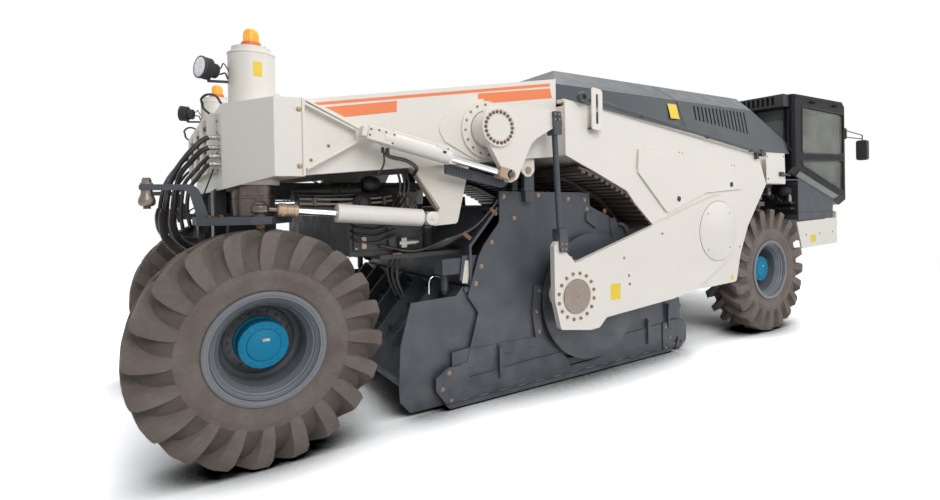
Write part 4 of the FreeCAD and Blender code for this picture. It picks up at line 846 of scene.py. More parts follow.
@dataclass
class Wheels:
    """Rims, disc bolts and planetary hub covers."""

    face_y: float = 1.440
    disc_y: float = 1.120
    centre_z: float = 0.75
    hub_radius: float = 0.1455

    def build(self) -> None:
        """Dresses the four wheels."""
        for name, ahead, _, side in corners():
            self._rim(name, ahead, side)
            self._hub(name, ahead, side)

    def _rim(self, name: str, ahead: float, side: int) -> None:
        """The stepped inside of a rim, its lock ring and the valve, and a dark disc with bolts over the wheel's disc, a
        painted shade at the bottom of the well.

        Args:
            name: Which wheel it is on.
            ahead: Axle's distance ahead of the rear axle.
            side: -1 for the near side, 1 for the far side.
        """
        out = Vector((0, side, 0))
        centre = at(ahead, side * self.face_y, self.centre_z)
        maker = Maker(f"rim_steps_{name}")
        maker.lathe([(0.330, -0.002), (0.337, 0.004), (0.350, 0.004), (0.357, -0.001), (0.357, -0.010),
                     (0.330, -0.010)], centre, out, 96, ends=False)
        maker.lathe([(0.3195, -0.010), (0.3150, -0.006), (0.3105, -0.010), (0.3095, -0.026), (0.2990, -0.036),
                     (0.2960, -0.050), (0.2850, -0.060), (0.2800, -0.078), (0.2700, -0.090), (0.2670, -0.100),
                     (0.2640, -0.098), (0.2600, -0.104), (0.2590, -0.150), (0.2560, -0.300), (0.3195, -0.310)],
                    centre, out, 96, ends=False)
        valve = at(ahead + 0.235, side * (self.face_y - 0.20), self.centre_z + 0.09)
        maker.tube([valve, valve + Vector((0.02, side * 0.03, 0.005)), valve + Vector((0.025, side * 0.09, 0.008))],
                   0.006, 8)
        bmesh.ops.remove_doubles(maker.bm, verts=maker.bm.verts, dist=MERGE)
        maker.done(RIM_GREY, f"wheel_{name}", 30.0)
        # Painted shade: a dark disc and bolts cover the wheel's recessed disc, for the shade in the rim's well.
        disc = Maker(f"rim_disc_shade_{name}")
        disc.lathe([(0.2562, -0.3185), (0.2562, -0.300), (0.2480, -0.306), (0.2250, -0.312), (0.2120, -0.306),
                    (0.1600, -0.306), (0.1580, -0.3185)], centre, out, 72)
        disc.ring_of_bolts(at(ahead, side * (self.disc_y + 0.014), self.centre_z), out, 0.188, 20, 0.0105, 0.016)
        disc.done(DISC_SHADE, f"wheel_{name}")

    def _hub(self, name: str, ahead: float, side: int) -> None:
        """The blue planetary hub with its ring of screws.

        Args:
            name: Which wheel it is on.
            ahead: Axle's distance ahead of the rear axle.
            side: -1 for the near side, 1 for the far side.
        """
        out = Vector((0, side, 0))
        foot = at(ahead, side * self.disc_y, self.centre_z)
        maker = Maker(f"hub_cover_{name}")
        r = self.hub_radius
        maker.lathe([(r + 0.012, 0.001), (r + 0.012, 0.026), (r, 0.032), (r, 0.150), (r + 0.005, 0.154),
                     (r + 0.005, 0.188), (r + 0.001, 0.1925), (0.108, 0.1945), (0.105, 0.1915), (0.1025, 0.1915),
                     (0.0995, 0.1985), (0.094, 0.2015), (0.002, 0.2015)], foot, out, 72)
        maker.ring_of_bolts(foot + out * 0.192, out, 0.127, 18, 0.0085, 0.006, 0.17, washer=False)
        maker.done(BLUE, f"wheel_{name}", 32.0)
        screws = Maker(f"hub_screws_{name}")
        plug = foot + out * 0.2015 + Vector((0.012, 0.0, 0.034))
        screws.slab(plug - Vector((0.022, 0.004, 0.009)), plug + Vector((0.022, 0.004, 0.009)))
        screws.bolt(plug + out * 0.003 - Vector((0.014, 0.0, 0.004)), out, 0.008, 0.006, washer=False)
        screws.done(PLATED, f"wheel_{name}")


# ---------------------------------------------------------------- frame and rotor group
@dataclass
class FrameDress:
    """Stripes, bolts, lifting lugs, covers, pins and column trim of the frame and the rotor's arms."""

    beam_y: float = 1.3602
    arm_y: float = 1.5502
    crank: Pair = (1.660, 2.230)
    hub: Pair = (2.440, 0.812)
    pivot: Pair = (4.455, 1.285)

    def build(self) -> None:
        """Makes everything in turn."""
        self._stripes()
        self._crank_bolts()
        self._bearing_flanges()
        self._arm_covers()
        self._arm_bolts()
        self._lifting_lugs()
        self._column_trim()
        self._pins()

    def _stripes(self) -> None:
        """Orange bands painted along both beams."""
        maker = Maker("beam_stripes")
        for side in SIDES:
            y0, y1 = side * self.beam_y, side * (self.beam_y + 0.0008)
            maker.plate([(0.289, 2.331), (2.328, 2.684), (2.328, 2.657), (0.289, 2.311)], y0, y1)
            maker.plate([(0.399, 2.313), (0.911, 2.402), (0.908, 2.321), (0.532, 2.255)], y0, y1)
            maker.plate([(1.596, 2.523), (2.328, 2.640), (2.349, 2.556), (1.594, 2.438)], y0, y1)
        maker.done(ORANGE, "frame")

    def _crank_bolts(self) -> None:
        """The ring of screws on each crank's hub, and two raised rings round the hub."""
        maker = Maker("crank_screws")
        for side in SIDES:
            out = Vector((0, side, 0))
            maker.ring_of_bolts(at(self.crank[0], side * 1.570, self.crank[1]), out, 0.122, 22, 0.0150, 0.0055,
                                washer=False)
        maker.done(BOLT_BROWN, "bell_cranks")
        ring = Maker("crank_hub_rings")
        for side in SIDES:
            out = Vector((0, side, 0))
            ring.lathe([(0.150, -0.010), (0.151, 0.001), (0.149, 0.0035), (0.143, 0.0035), (0.141, 0.0)],
                       at(self.crank[0], side * 1.5702, self.crank[1]), out, 64, ends=False)
            ring.lathe([(0.103, 0.0), (0.101, 0.003), (0.098, 0.0)], at(self.crank[0], side * 1.5702, self.crank[1]),
                       out, 64, ends=False)
        ring.done(CREAM, "bell_cranks")

    def _bearing_flanges(self) -> None:
        """Screws in the flanges of the cranks' bearings."""
        bolts = Maker("crank_bearing_bolts")
        x, z = self.crank
        for side in SIDES:
            for i in range(9):
                a = math.radians(95 + 22 * i)
                bolts.bolt(at(x + 0.203 * math.cos(a), side * 1.394, z + 0.203 * math.sin(a)), Vector((0, side, 0)),
                           0.0095, 0.010, washer=False)
        bolts.done(ZINC, "frame")

    def _arm_covers(self) -> None:
        """Machined discs on the rotor's hubs and round covers at the arms' pivots."""
        disc = Maker("rotor_hub_discs")
        cover = Maker("arm_pivot_covers")
        for side in SIDES:
            out = Vector((0, side, 0))
            disc.lathe([(0.150, 0.0), (0.150, 0.010), (0.146, 0.013), (0.018, 0.013), (0.015, 0.009)],
                       at(self.hub[0], side * self.arm_y, self.hub[1]), out, 72)
            cover.lathe([(0.322, 0.0), (0.322, 0.004), (0.319, 0.006), (0.01, 0.006)],
                        at(self.pivot[0], side * self.arm_y, self.pivot[1]), out, 96)
        disc.done(CAST_IRON, "rotor_arms")
        cover.done(CREAM, "rotor_arms")
        rim = Maker("arm_cover_gaps")
        for side in SIDES:
            rim.lathe([(0.3225, 0.0), (0.3265, 0.0), (0.3265, 0.0006), (0.3225, 0.0006)],
                      at(self.pivot[0], side * self.arm_y, self.pivot[1]), Vector((0, side, 0)), 96, ends=False)
        rim.done(DARK_STEEL, "rotor_arms")

    def _arm_bolts(self) -> None:
        """Screws round the rotor's hubs and along the arms."""
        maker = Maker("arm_screws")
        for side in SIDES:
            out = Vector((0, side, 0))
            hub = at(self.hub[0], side * self.arm_y, self.hub[1])
            maker.ring_of_bolts(hub, out, 0.200, 16, 0.0125, 0.016, 0.2)
            for x, z in ((2.43, 1.12), (3.02, 1.10), (3.08, 0.93), (3.09, 0.85), (3.55, 1.30)):
                maker.bolt(at(x, side * self.arm_y, z), out, 0.010, 0.008)
            for i in range(4):
                a = math.pi * (0.25 + 0.5 * i)
                maker.bolt(at(self.pivot[0] + 0.27 * math.cos(a), side * (self.arm_y + 0.006),
                              self.pivot[1] + 0.27 * math.sin(a)), out, 0.008, 0.005, washer=False)
        maker.done(ZINC, "rotor_arms")

    def _lifting_lugs(self) -> None:
        """Ring-shaped lifting eyes on the rear box."""
        maker = Maker("lifting_eyes")
        for side in SIDES:
            foot = at(0.12, side * 1.26, 2.35)
            maker.lathe([(0.017, 0.0), (0.014, 0.012), (0.008, 0.016)], foot, UP, 12)
            loop = [foot + Vector((0.013 * math.sin(a), 0, 0.028 - 0.013 * math.cos(a)))
                    for a in [2 * math.pi * i / 16 for i in range(17)]]
            maker.tube(loop, 0.0065, 8)
        maker.done(CREAM, "frame")

    def _column_trim(self) -> None:
        """Cap screws and cap seams of the lift columns."""
        maker = Maker("column_screws")
        ring = Maker("column_rings")
        for ahead, top in ((0.0, 2.677), (WHEELBASE, 2.620)):
            for side in SIDES:
                spot = at(ahead, side * 1.058, top)
                maker.ring_of_bolts(spot + Vector((0, 0, 0.042)), UP, 0.098, 8, 0.009, 0.010)
                ring.lathe([(0.1452, -0.012), (0.149, -0.008), (0.149, 0.0), (0.146, 0.003), (0.122, 0.003)], spot,
                           UP, 64, ends=False)
        maker.done(ZINC, "frame")
        ring.done(CREAM, "frame")

    def _pins(self) -> None:
        """Pin heads and their screws at the links' upper eyes."""
        maker = Maker("crank_pins")
        for side in SIDES:
            out = Vector((0, side, 0))
            for x, z in ((2.240, 2.355),):
                spot = at(x, side * 1.572, z)
                maker.lathe([(0.036, 0.0), (0.036, 0.0015), (0.033, 0.003)], spot, out, 24)
                maker.ring_of_bolts(spot, out, 0.024, 4, 0.007, 0.0035, 0.78, washer=False)
        maker.done(DARK_STEEL, "link_rods")


# ---------------------------------------------------------------- rear end
@dataclass
class RearEnd:
    """Rear box, column lamps, valve fittings, hoses and the steering legs' trim."""

    box_y: float = 1.490
    column_y: float = 1.058
    lever: float = 0.600  # from the steering axis to the tie rod's joint
    ball_out: float = 0.222  # from the column to the steering rod's joint
    hose_shift: float = 0.20  # how far the rear hoses are led inboard, and the drop in which they get there
    hose_top: float = 2.0  # height from which they are led inboard
    column_radius: float = 0.145
    cap_z: float = 2.719
    valve_x: float = -0.252
    lamp_turn: float = 0.45

    def build(self) -> None:
        """Makes everything in turn."""
        self._box_seams()
        self._beacons()
        self._work_lamps()
        self._plates()
        self._collars()
        self._valves()
        self._hoses()
        self._lever_joints()

    def _box_seams(self) -> None:
        """Edge strips and screws on the rear box's sides, and a tan sheet under the box for dirt and painted shade on
        its underside.
        """
        strip = Maker("rear_box_strips")
        screws = Maker("rear_box_screws")
        for side in SIDES:
            y0, y1 = side * self.box_y, side * (self.box_y + 0.004)
            strip.block((0.2215, y0, 1.842), (0.2385, y1, 2.336))
            for z in (2.265, 1.900):
                screws.bolt(at(0.201, side * (self.box_y + 0.0005), z), Vector((0, side, 0)), 0.0125, 0.010)
        strip.done(CREAM, "frame", bevel=0.0015)
        screws.done(ZINC, "frame")
        gap = Maker("rear_box_gaps")
        for side in SIDES:
            gap.block((0.2172, side * self.box_y, 1.842), (0.2212, side * (self.box_y + 0.0006), 2.336))
        gap.done(EDGE_TAN, "frame")
        # Dirt and painted shade: a tan sheet just under the box's underside.
        soffit_dirt_and_shade = Maker("rear_box_soffit_dirt_and_shade")
        for (x0, y0, z0), (x1, y1, z1) in (((0.235, 1.485, 1.8345), (0.054, 1.485, 1.8345)),
                                          ((0.054, 1.485, 1.8345), (-0.189, 1.076, 1.7615))):
            soffit_dirt_and_shade.panel([at(x0, -y0, z0), at(x0, y0, z0), at(x1, y1, z1), at(x1, -y1, z1)], Vector((0, 0, 0.001)))
        soffit_dirt_and_shade.done(EDGE_TAN, "frame")

    def _beacons(self) -> None:
        """Turning beacons on the rear columns."""
        base = Maker("beacon_bases")
        dome = Maker("beacon_domes")
        for side in SIDES:
            foot = at(0.0, side * self.column_y, self.cap_z)
            base.lathe([(0.0615, 0.0), (0.0630, 0.004), (0.0630, 0.012), (0.0612, 0.016), (0.0612, 0.0385),
                        (0.058, 0.0415), (0.040, 0.042)], foot, UP, 40)
            dome.lathe([(0.0475, 0.0415), (0.0478, 0.095), (0.045, 0.112), (0.038, 0.125), (0.025, 0.134),
                        (0.008, 0.1375), (0.001, 0.1378)], foot, UP, 40)
            for i in range(20):
                a = 2 * math.pi * i / 20
                dome.lathe([(0.0022, 0.043), (0.0022, 0.096)], foot + Vector((0.0475 * math.cos(a),
                                                                              0.0475 * math.sin(a), 0)),
                           UP, 6)
        base.done(BEACON_BASE, "frame")
        dome.done(AMBER, "frame", 50.0)

    def _work_lamps(self) -> None:
        """Bezels, lenses, cooling fins and leads of the work lamps."""
        fins = Maker("work_lamp_fins")
        lens = Maker("work_lamp_lenses")
        lead = Maker("work_lamp_leads")
        for side in SIDES:
            axis = Vector((-1.0, side * self.lamp_turn, 0.1)).normalized()
            foot = at(-0.250, side * self.column_y, 2.550)
            for i in range(4):
                fins.lathe([(0.0685, 0.002 + 0.011 * i), (0.0715, 0.003 + 0.011 * i), (0.0715, 0.006 + 0.011 * i),
                            (0.0685, 0.007 + 0.011 * i)], foot, axis, 40, ends=False)
                fins.lathe([(0.0460, -0.008 - 0.009 * i), (0.0490, -0.009 - 0.009 * i), (0.0490, -0.012 - 0.009 * i),
                            (0.0460, -0.013 - 0.009 * i)], foot, axis, 32, ends=False)
            fins.lathe([(0.0685, 0.048), (0.0735, 0.051), (0.0735, 0.064), (0.0670, 0.066), (0.0645, 0.061)], foot,
                       axis, 48, ends=False)
            lens.lathe([(0.0660, 0.0625), (0.062, 0.066), (0.040, 0.0685), (0.001, 0.0695)], foot, axis, 40)
            square = axis.cross(UP).normalized()
            for i in range(6):
                a = math.pi / 3 * i
                lens.lathe([(0.012, 0.0685), (0.009, 0.0710)],
                           foot + square * (0.036 * math.cos(a)) + axis.cross(square) * (0.036 * math.sin(a)), axis, 12)
            start = foot - axis * 0.045 + Vector((0.0, 0.0, -0.010))
            lead.tube([start, start - axis * 0.030, at(-0.160, side * (self.column_y + 0.005), 2.535),
                       at(-0.146, side * (self.column_y + 0.015), 2.495)], 0.0055, 8)
            lead.tube([start + Vector((0, 0, 0.03)), start - axis * 0.03 + Vector((0, 0, 0.040)),
                       at(-0.170, side * (self.column_y + 0.02), 2.595),
                       at(-0.140, side * (self.column_y + 0.03), 2.545)], 0.004, 8)
        fins.done(BLACK_PLASTIC, "frame")
        lens.done(LAMP_GLASS, "frame")
        lead.done(HOSE, "frame")

    def _plates(self) -> None:
        """Blank yellow plates on the columns."""
        maker = Maker("column_plates")
        for side in SIDES:
            mid = side * math.pi / 2 - side * 0.095
            maker.wrap(at(0.0, side * self.column_y, 0.0), self.column_radius, (mid - 0.19, mid + 0.19),
                       (2.507, 2.606))
        maker.done(LABEL, "frame")

    def _collars(self) -> None:
        """Oily inner tubes of the lifting legs, with the ring at each column's foot."""
        for name, ahead, _, side in corners():
            tube = Maker(f"leg_sleeve_{name}")
            tube.lathe([(0.1275, 1.585), (0.1275, 1.700), (0.1305, 1.703), (0.1305, 1.716), (0.1275, 1.719),
                        (0.1275, 1.786)], at(ahead, side * self.column_y, 0.0), UP, 56)
            tube.done(OILY_STEEL, f"leg_{name}")
        ring = Maker("column_foot_rings")
        for _, ahead, _, side in corners():
            ring.lathe([(0.1455, 0.0), (0.158, 0.0), (0.158, 0.030), (0.1455, 0.034)],
                       at(ahead, side * self.column_y, 1.7905), UP, 64, ends=False)
        ring.done(CREAM_SOILED, "frame")

    def _valves(self) -> None:
        """Ports, plugs, screws and fittings on the valve panel."""
        port = Maker("valve_ports")
        back = Vector((-1, 0, 0))
        for y in (-0.74, -0.45, -0.15, 0.15, 0.45, 0.74):
            for z in (1.955, 2.035, 2.115, 2.195):
                port.bolt(at(self.valve_x, y, z), back, 0.014, 0.014)
                port.bolt(at(self.valve_x, y + 0.05, z + 0.03), back, 0.007, 0.006, washer=False)
        port.done(BOLT_BROWN, "frame")
        fitting = Maker("valve_fittings")
        for side in SIDES:
            for y, z in ((0.985, 2.114), (0.972, 2.046), (1.020, 1.985), (1.035, 1.932)):
                spot = at(-0.190, side * y, z)
                fitting.lathe([(0.021, 0.0), (0.021, 0.010), (0.013, 0.012), (0.013, 0.030), (0.018, 0.032),
                               (0.018, 0.050), (0.014, 0.055), (0.014, 0.070)], spot, back, 12)
            for z in (1.90, 2.02, 2.16, 2.24):
                fitting.lathe([(0.010, 0.0), (0.010, 0.012), (0.006, 0.014)], at(-0.190, side * 0.875, z), back, 10)
        fitting.done(PLATED, "frame")
        block = Maker("valve_blocks")
        for y in (-0.60, 0.0, 0.60):
            block.block((self.valve_x - 0.022, y - 0.11, 1.91), (self.valve_x, y + 0.11, 2.26))
        block.done(CREAM_SOILED, "frame", bevel=0.004)

    def _led(self, x: float, y: float, z: float) -> Vector:
        """A hose's point, led inboard below the box so that the levers and tyres swing clear of it.

        Args:
            x: Distance ahead of the rear axle.
            y: Distance across, before it is led inboard.
            z: Height.

        Returns:
            The point in the row frame.
        """
        inboard = self.hose_shift * min(1.0, max(0.0, (self.hose_top - z) / self.hose_shift))
        return at(x, y - math.copysign(inboard, y), z)

    def _hoses(self) -> None:
        """Formed hoses from the rear box's ports.

        The thick ones go on in sleeves to brackets under the box, and the slim ones stop short of them.
        """
        hose = Maker("rear_hoses")
        sleeve = Maker("rear_hose_sleeves")
        thin = Maker("rear_thin_leads")
        plate = Maker("rear_hose_brackets")
        thick_routes = (
            ((-0.255, -0.985, 2.114), (-0.300, -0.980, 2.085), (-0.370, -0.970, 2.004), (-0.440, -0.955, 1.892),
             (-0.478, -0.950, 1.780), (-0.496, -0.950, 1.668), (-0.512, -0.950, 1.560), (-0.500, -0.945, 1.470)),
            ((-0.255, -0.972, 2.046), (-0.300, -0.960, 2.020), (-0.352, -0.945, 1.958), (-0.412, -0.925, 1.870),
             (-0.436, -0.905, 1.750), (-0.448, -0.895, 1.640), (-0.452, -0.890, 1.540), (-0.430, -0.888, 1.450)))
        slim_routes = (
            ((-0.255, -1.020, 1.985), (-0.285, -1.015, 1.955), (-0.330, -1.000, 1.893), (-0.386, -0.980, 1.812),
             (-0.404, -0.965, 1.704), (-0.412, -0.950, 1.600), (-0.400, -0.935, 1.500)),
            ((-0.255, -1.035, 1.932), (-0.280, -1.030, 1.905), (-0.318, -1.015, 1.845), (-0.358, -1.000, 1.780),
             (-0.374, -0.985, 1.684), (-0.372, -0.960, 1.600), (-0.355, -0.940, 1.510)))
        for side in SIDES:
            for radius, routes in ((0.0165, thick_routes), (0.0125, slim_routes)):
                for route in routes:
                    hose.tube([self._led(x, side * -y, z) for x, y, z in route], radius, 12)
            sleeve.tube([self._led(x, side * y, z) for x, y, z in (
                (-0.501, 0.950, 1.636), (-0.516, 0.950, 1.560), (-0.506, 0.948, 1.462), (-0.468, 0.942, 1.388),
                (-0.400, 0.930, 1.318), (-0.300, 0.912, 1.262), (-0.219, 0.900, 1.255))], 0.0275, 16, ribs=0.006)
            sleeve.tube([self._led(x, side * y, z) for x, y, z in (
                (-0.450, 0.893, 1.636), (-0.456, 0.890, 1.530), (-0.430, 0.888, 1.440), (-0.378, 0.885, 1.382),
                (-0.300, 0.882, 1.345), (-0.219, 0.878, 1.340))], 0.0275, 16, ribs=0.006)
            thin.tube([self._led(x, side * y, z) for x, y, z in (
                (-0.225, 1.000, 1.905), (-0.262, 1.010, 1.780), (-0.306, 0.995, 1.670), (-0.362, 0.975, 1.620),
                (-0.360, 0.960, 1.560))], 0.005, 8)
            plate.block((-0.2190, side * 0.610, 1.215), (-0.2070, side * 0.790, 1.765))
            plate.block((-0.2070, side * 0.694, 1.400), (-0.1300, side * 0.706, 1.775))
            thin.tube([at(-0.285, side * 0.95, 2.340), at(-0.290, side * 0.95, 2.372), at(-0.257, side * 0.95, 2.403),
                       at(-0.206, side * 0.955, 2.397), at(-0.168, side * 0.965, 2.330)], 0.008, 8)
            thin.tube([at(-0.285, side * 0.95, 2.340), at(-0.280, side * 0.950, 2.310),
                       at(-0.245, side * 0.950, 2.275)], 0.008, 8)
        hose.done(HOSE, "frame")
        plate.done(SLATE, "frame", bevel=0.002)
        sleeve.done(SLEEVE, "frame", 20.0)
        thin.done(HOSE, "frame")

    def _lever_joints(self) -> None:
        """Steering rods with their ball ends and collars, and the nuts of the tie rods' joints."""
        for name, ahead, way, side in corners():
            nut = Maker(f"lever_joint_{name}")
            spot = at(ahead - way * self.lever, side * self.column_y, 1.7965)
            nut.lathe([(0.034, 0.0), (0.034, 0.006), (0.030, 0.010)], spot, UP, 24)
            nut.bolt(spot + UP * 0.010, UP, 0.026, 0.022, washer=False)
            nut.lathe([(0.0205, 0.0), (0.0215, 0.006), (0.0215, 0.0225)], spot + UP * 0.018, UP, 12)
            nut.lathe([(0.038, 0.0), (0.040, 0.004), (0.034, 0.013), (0.020, 0.019), (0.006, 0.021)],
                      at(ahead, side * (self.column_y + self.ball_out), 1.6605), UP, 32)
            nut.done(CAST_IRON, f"leg_{name}")
            bolts = Maker(f"steer_plate_bolts_{name}")
            bolts.bolt(at(ahead, side * (self.column_y + self.ball_out), 1.530), -UP, 0.026, 0.030)
            for dx, dy in ((-0.27, -0.10), (-0.20, -0.13)):
                bolts.bolt(at(ahead + way * dx, side * (self.column_y + 0.15 + dy), 1.580), UP, 0.018, 0.014)
            bolts.done(BOLT_BROWN, f"leg_{name}")
            self._steering_rod(f"steer_rod_{name}", ahead, way, side)
        for end, ahead, way in AXLES:
            tie = Maker(f"tie_rod_dress_{end}")
            ends = Maker(f"tie_rod_ends_{end}")
            x = ahead - way * self.lever
            tie.lathe([(0.0262, 0.0), (0.0262, 1.846)], at(x, -0.923, 1.690), ACROSS, 32)
            for side in SIDES:
                out = Vector((0, side, 0))
                ends.lathe([(0.030, 0.0), (0.030, 0.060), (0.0262, 0.066)], at(x, side * 0.900, 1.690), out, 24)
                ends.lathe([(0.0268, 0.0), (0.036, 0.004), (0.044, 0.014), (0.046, 0.034), (0.042, 0.052),
                            (0.034, 0.070), (0.031, 0.084), (0.031, 0.0995), (0.0201, 0.0995), (0.0201, 0.0),
                            (0.0268, 0.0)], at(x, side * self.column_y, 1.660), UP, 32, ends=False)
                ends.lathe([(0.022, 0.0), (0.026, 0.060), (0.030, 0.090)], at(x, side * 0.960, 1.690), out, 20)
            tie.done(SLATE, f"tie_rod_{end}", replaces=(f"tie_rod_{end}",))
            ends.done(CAST_IRON, f"tie_rod_{end}")

    def _steering_rod(self, body: str, ahead: float, way: float, side: int) -> None:
        """One steering rod: chrome bar, bronze collar and the round housing of its ball joint.

        Args:
            body: CAD body and node of the rod.
            ahead: Axle's distance ahead of the rear axle.
            way: 1 at the rear axle, -1 at the front.
            side: -1 for the near side, 1 for the far side.
        """
        low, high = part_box(body)
        y = side * (self.column_y + self.ball_out)
        eye = at(ahead, y, 1.630)
        base = at(ahead + way * 1.183, y, 1.530)
        axis = (base - eye).normalized()
        reach = max(abs(high.x - eye.x), abs(low.x - eye.x)) / abs(axis.x)
        bar = Maker(f"{body}_bar")
        bar.lathe([(0.0268, 0.185), (0.0270, 0.190), (0.0270, reach)], eye, axis, 32)
        bar.done(CHROME, body, replaces=(body,))
        collar = Maker(f"{body}_collar")
        collar.lathe([(0.020, 0.098), (0.040, 0.102), (0.0465, 0.112), (0.0465, 0.150), (0.041, 0.156), (0.041, 0.200),
                      (0.044, 0.204), (0.044, 0.226), (0.0405, 0.230), (0.0271, 0.230)], eye, axis, 32)
        for i in range(4):
            a = math.pi / 4 + math.pi / 2 * i
            turn = (Vector((0, math.cos(a), 0)) + axis.cross(ACROSS) * math.sin(a)).normalized()
            collar.bolt(eye + axis * 0.131 + turn * 0.046, turn, 0.008, 0.006, washer=False)
            collar.bolt(eye + axis * 0.215 + turn * 0.0435, turn, 0.006, 0.005, washer=False)
        collar.done(BRONZE, body)
        head = Maker(f"{body}_head")
        head.lathe([(0.0405, -0.026), (0.049, -0.026), (0.055, -0.020), (0.0575, -0.010), (0.0575, 0.010),
                    (0.055, 0.020), (0.049, 0.026), (0.0405, 0.026), (0.0405, -0.026)],
                   eye - Vector((0, side * 0.010, 0)), UP, 40, ends=False)
        head.lathe([(0.022, 0.050), (0.022, 0.104)], eye, axis, 20)
        head.done(OILY_STEEL, body, 30.0)


# ---------------------------------------------------------------- lifting gear
@dataclass
class LiftGear:
    """Fittings of the lift cylinders, links, cranks and steering cylinders' bases."""

    lift_y: float = 1.521
    base: Pair = (0.680, 2.120)
    eye: Pair = (1.770, 1.860)

    def build(self) -> None:
        """Makes everything in turn."""
        self._cylinders()
        self._guards()
        self._gussets()
        self._link_heads()
        self._brackets()
        self._springs()

    def _along(self, side: int, far: float, up: float, out: float = 0.0) -> Vector:
        """A point beside a lift cylinder's axis.

        Args:
            side: -1 for the near side, 1 for the far side.
            far: Distance from the base pin.
            up: Distance square to the axis.
            out: Distance outwards.

        Returns:
            The point in the row frame.
        """
        dx, dz = self.eye[0] - self.base[0], self.eye[1] - self.base[1]
        length = math.hypot(dx, dz)
        ux, uz = dx / length, dz / length
        return at(self.base[0] + ux * far - uz * up, side * (self.lift_y + out), self.base[1] + uz * far + ux * up)

    def _cylinders(self) -> None:
        """Base blocks, pipe covers, glands, rods and hoses of the lift cylinders."""
        block = Maker("lift_cylinder_blocks")
        cover = Maker("lift_pipe_covers")
        screws = Maker("lift_block_screws")
        gland = Maker("lift_glands")
        pipes = Maker("lift_hoses")
        for side in SIDES:
            block.bar(self._along(side, -0.060, 0.004), self._along(side, 0.135, 0.004), 0.098, 0.100)
            block.bar(self._along(side, -0.095, 0.004), self._along(side, -0.058, 0.004), 0.072, 0.080)
            for far, up in ((-0.045, 0.025), (-0.045, -0.015), (0.010, 0.034), (0.060, 0.034), (0.120, 0.034),
                            (0.120, -0.028)):
                screws.bolt(self._along(side, far, up, 0.050), Vector((0, side, 0)), 0.0075, 0.005, washer=False)
            cover.bar(self._along(side, 0.120, 0.058), self._along(side, 0.520, 0.058), 0.022, 0.052)
            cover.bar(self._along(side, 0.455, 0.046, 0.012), self._along(side, 0.575, 0.046, 0.012), 0.040, 0.062)
            cover.bar(self._along(side, 0.568, 0.0), self._along(side, 0.592, 0.0), 0.108, 0.094)
            screws.bolt(self._along(side, 0.540, 0.050, 0.043), Vector((0, side, 0)), 0.006, 0.004, washer=False)
            y = side * 1.475
            for n, (x, z) in enumerate(((0.755, 2.045), (0.790, 2.040))):
                pipes.lathe([(0.012, 0.0), (0.012, 0.04)], at(x, y, z), Vector((0, 0, -1)), 10)
                if n:
                    pipes.tube([at(x, y, z), at(x + 0.005, y, 1.985), at(0.93, y, 1.955), at(1.02, side * 1.44, 1.905),
                                at(1.04, side * 1.33, 1.86)], 0.014, 12)
                else:
                    pipes.tube([at(x, y, z), at(x + 0.01, y, 1.96), at(x, side * 1.46, 1.90),
                                at(x - 0.02, side * 1.40, 1.85)], 0.007, 10)
        block.done(CREAM, "lift_barrels", bevel=0.006)
        cover.done(CREAM, "lift_barrels", bevel=0.005)
        screws.done(BOLT_BROWN, "lift_barrels")
        for side in SIDES:
            gland.bar(self._along(side, 0.500, 0.018, 0.0565), self._along(side, 0.528, 0.018, 0.0565), 0.020, 0.0008)
        gland.done(DARK_STEEL, "lift_barrels")
        pipes.done(HOSE, "frame")
        self._rods()

    def _rods(self) -> None:
        """Chrome rods of the lift cylinders with their bare forks and pins."""
        bar = Maker("lift_rod_bars")
        fork = Maker("lift_rod_forks")
        pin = Maker("lift_rod_pins")
        length = math.hypot(self.eye[0] - self.base[0], self.eye[1] - self.base[1])
        for side in SIDES:
            out = Vector((0, side, 0))
            start = self._along(side, 0.555, 0.0)
            axis = (self._along(side, 1.0, 0.0) - start).normalized()
            bar.lathe([(0.028, 0.0), (0.028, length - 0.650)], start, axis, 32)
            fork.bar(self._along(side, length - 0.104, 0.0), self._along(side, length - 0.080, 0.0), 0.083, 0.101)
            for way in (-1, 1):
                middle = way * 0.0430
                fork.bar(self._along(side, length - 0.081, 0.0, middle), self._along(side, length, 0.0, middle), 0.083,
                         0.0155)
                fork.lathe([(0.0415, -0.00775), (0.0415, 0.00775)], self._along(side, length, 0.0, middle), out, 32)
            pin.lathe([(0.026, 0.0), (0.026, 0.0030), (0.023, 0.0040)], self._along(side, length, 0.0, 0.0505), out, 24)
            pin.lathe([(0.006, 0.003), (0.006, 0.0050)], self._along(side, length, 0.0, 0.0505), out, 8)
            pin.lathe([(0.0285, -0.036), (0.0285, 0.036)], self._along(side, length, 0.0), out, 24)
        bar.done(CHROME, "lift_rods", replaces=("lift_rods",))
        fork.done(BRONZE, "lift_rods", bevel=0.003)
        pin.done(OILY_STEEL, "lift_rods")

    def _guards(self) -> None:
        """Dark slatted guards beside the lift cylinders' rods."""
        maker = Maker("rod_guards")
        for side in SIDES:
            y0, y1 = side * 1.400, side * 1.446
            maker.plate([(1.262, 1.945), (1.262, 1.868), (1.500, 1.815), (1.756, 1.760), (1.800, 1.785),
                         (1.796, 1.822)], y0, y1)
            for i in range(8):
                x = 1.290 + 0.026 * i
                maker.block((x, y1, 1.872 - 0.0058 * i), (x + 0.012, side * 1.451, 1.918 - 0.0058 * i))
            maker.bar(at(1.262, side * 1.445, 1.942), at(1.796, side * 1.445, 1.819), 0.010, 0.014)
        maker.done(SLATE, "frame", bevel=0.002)

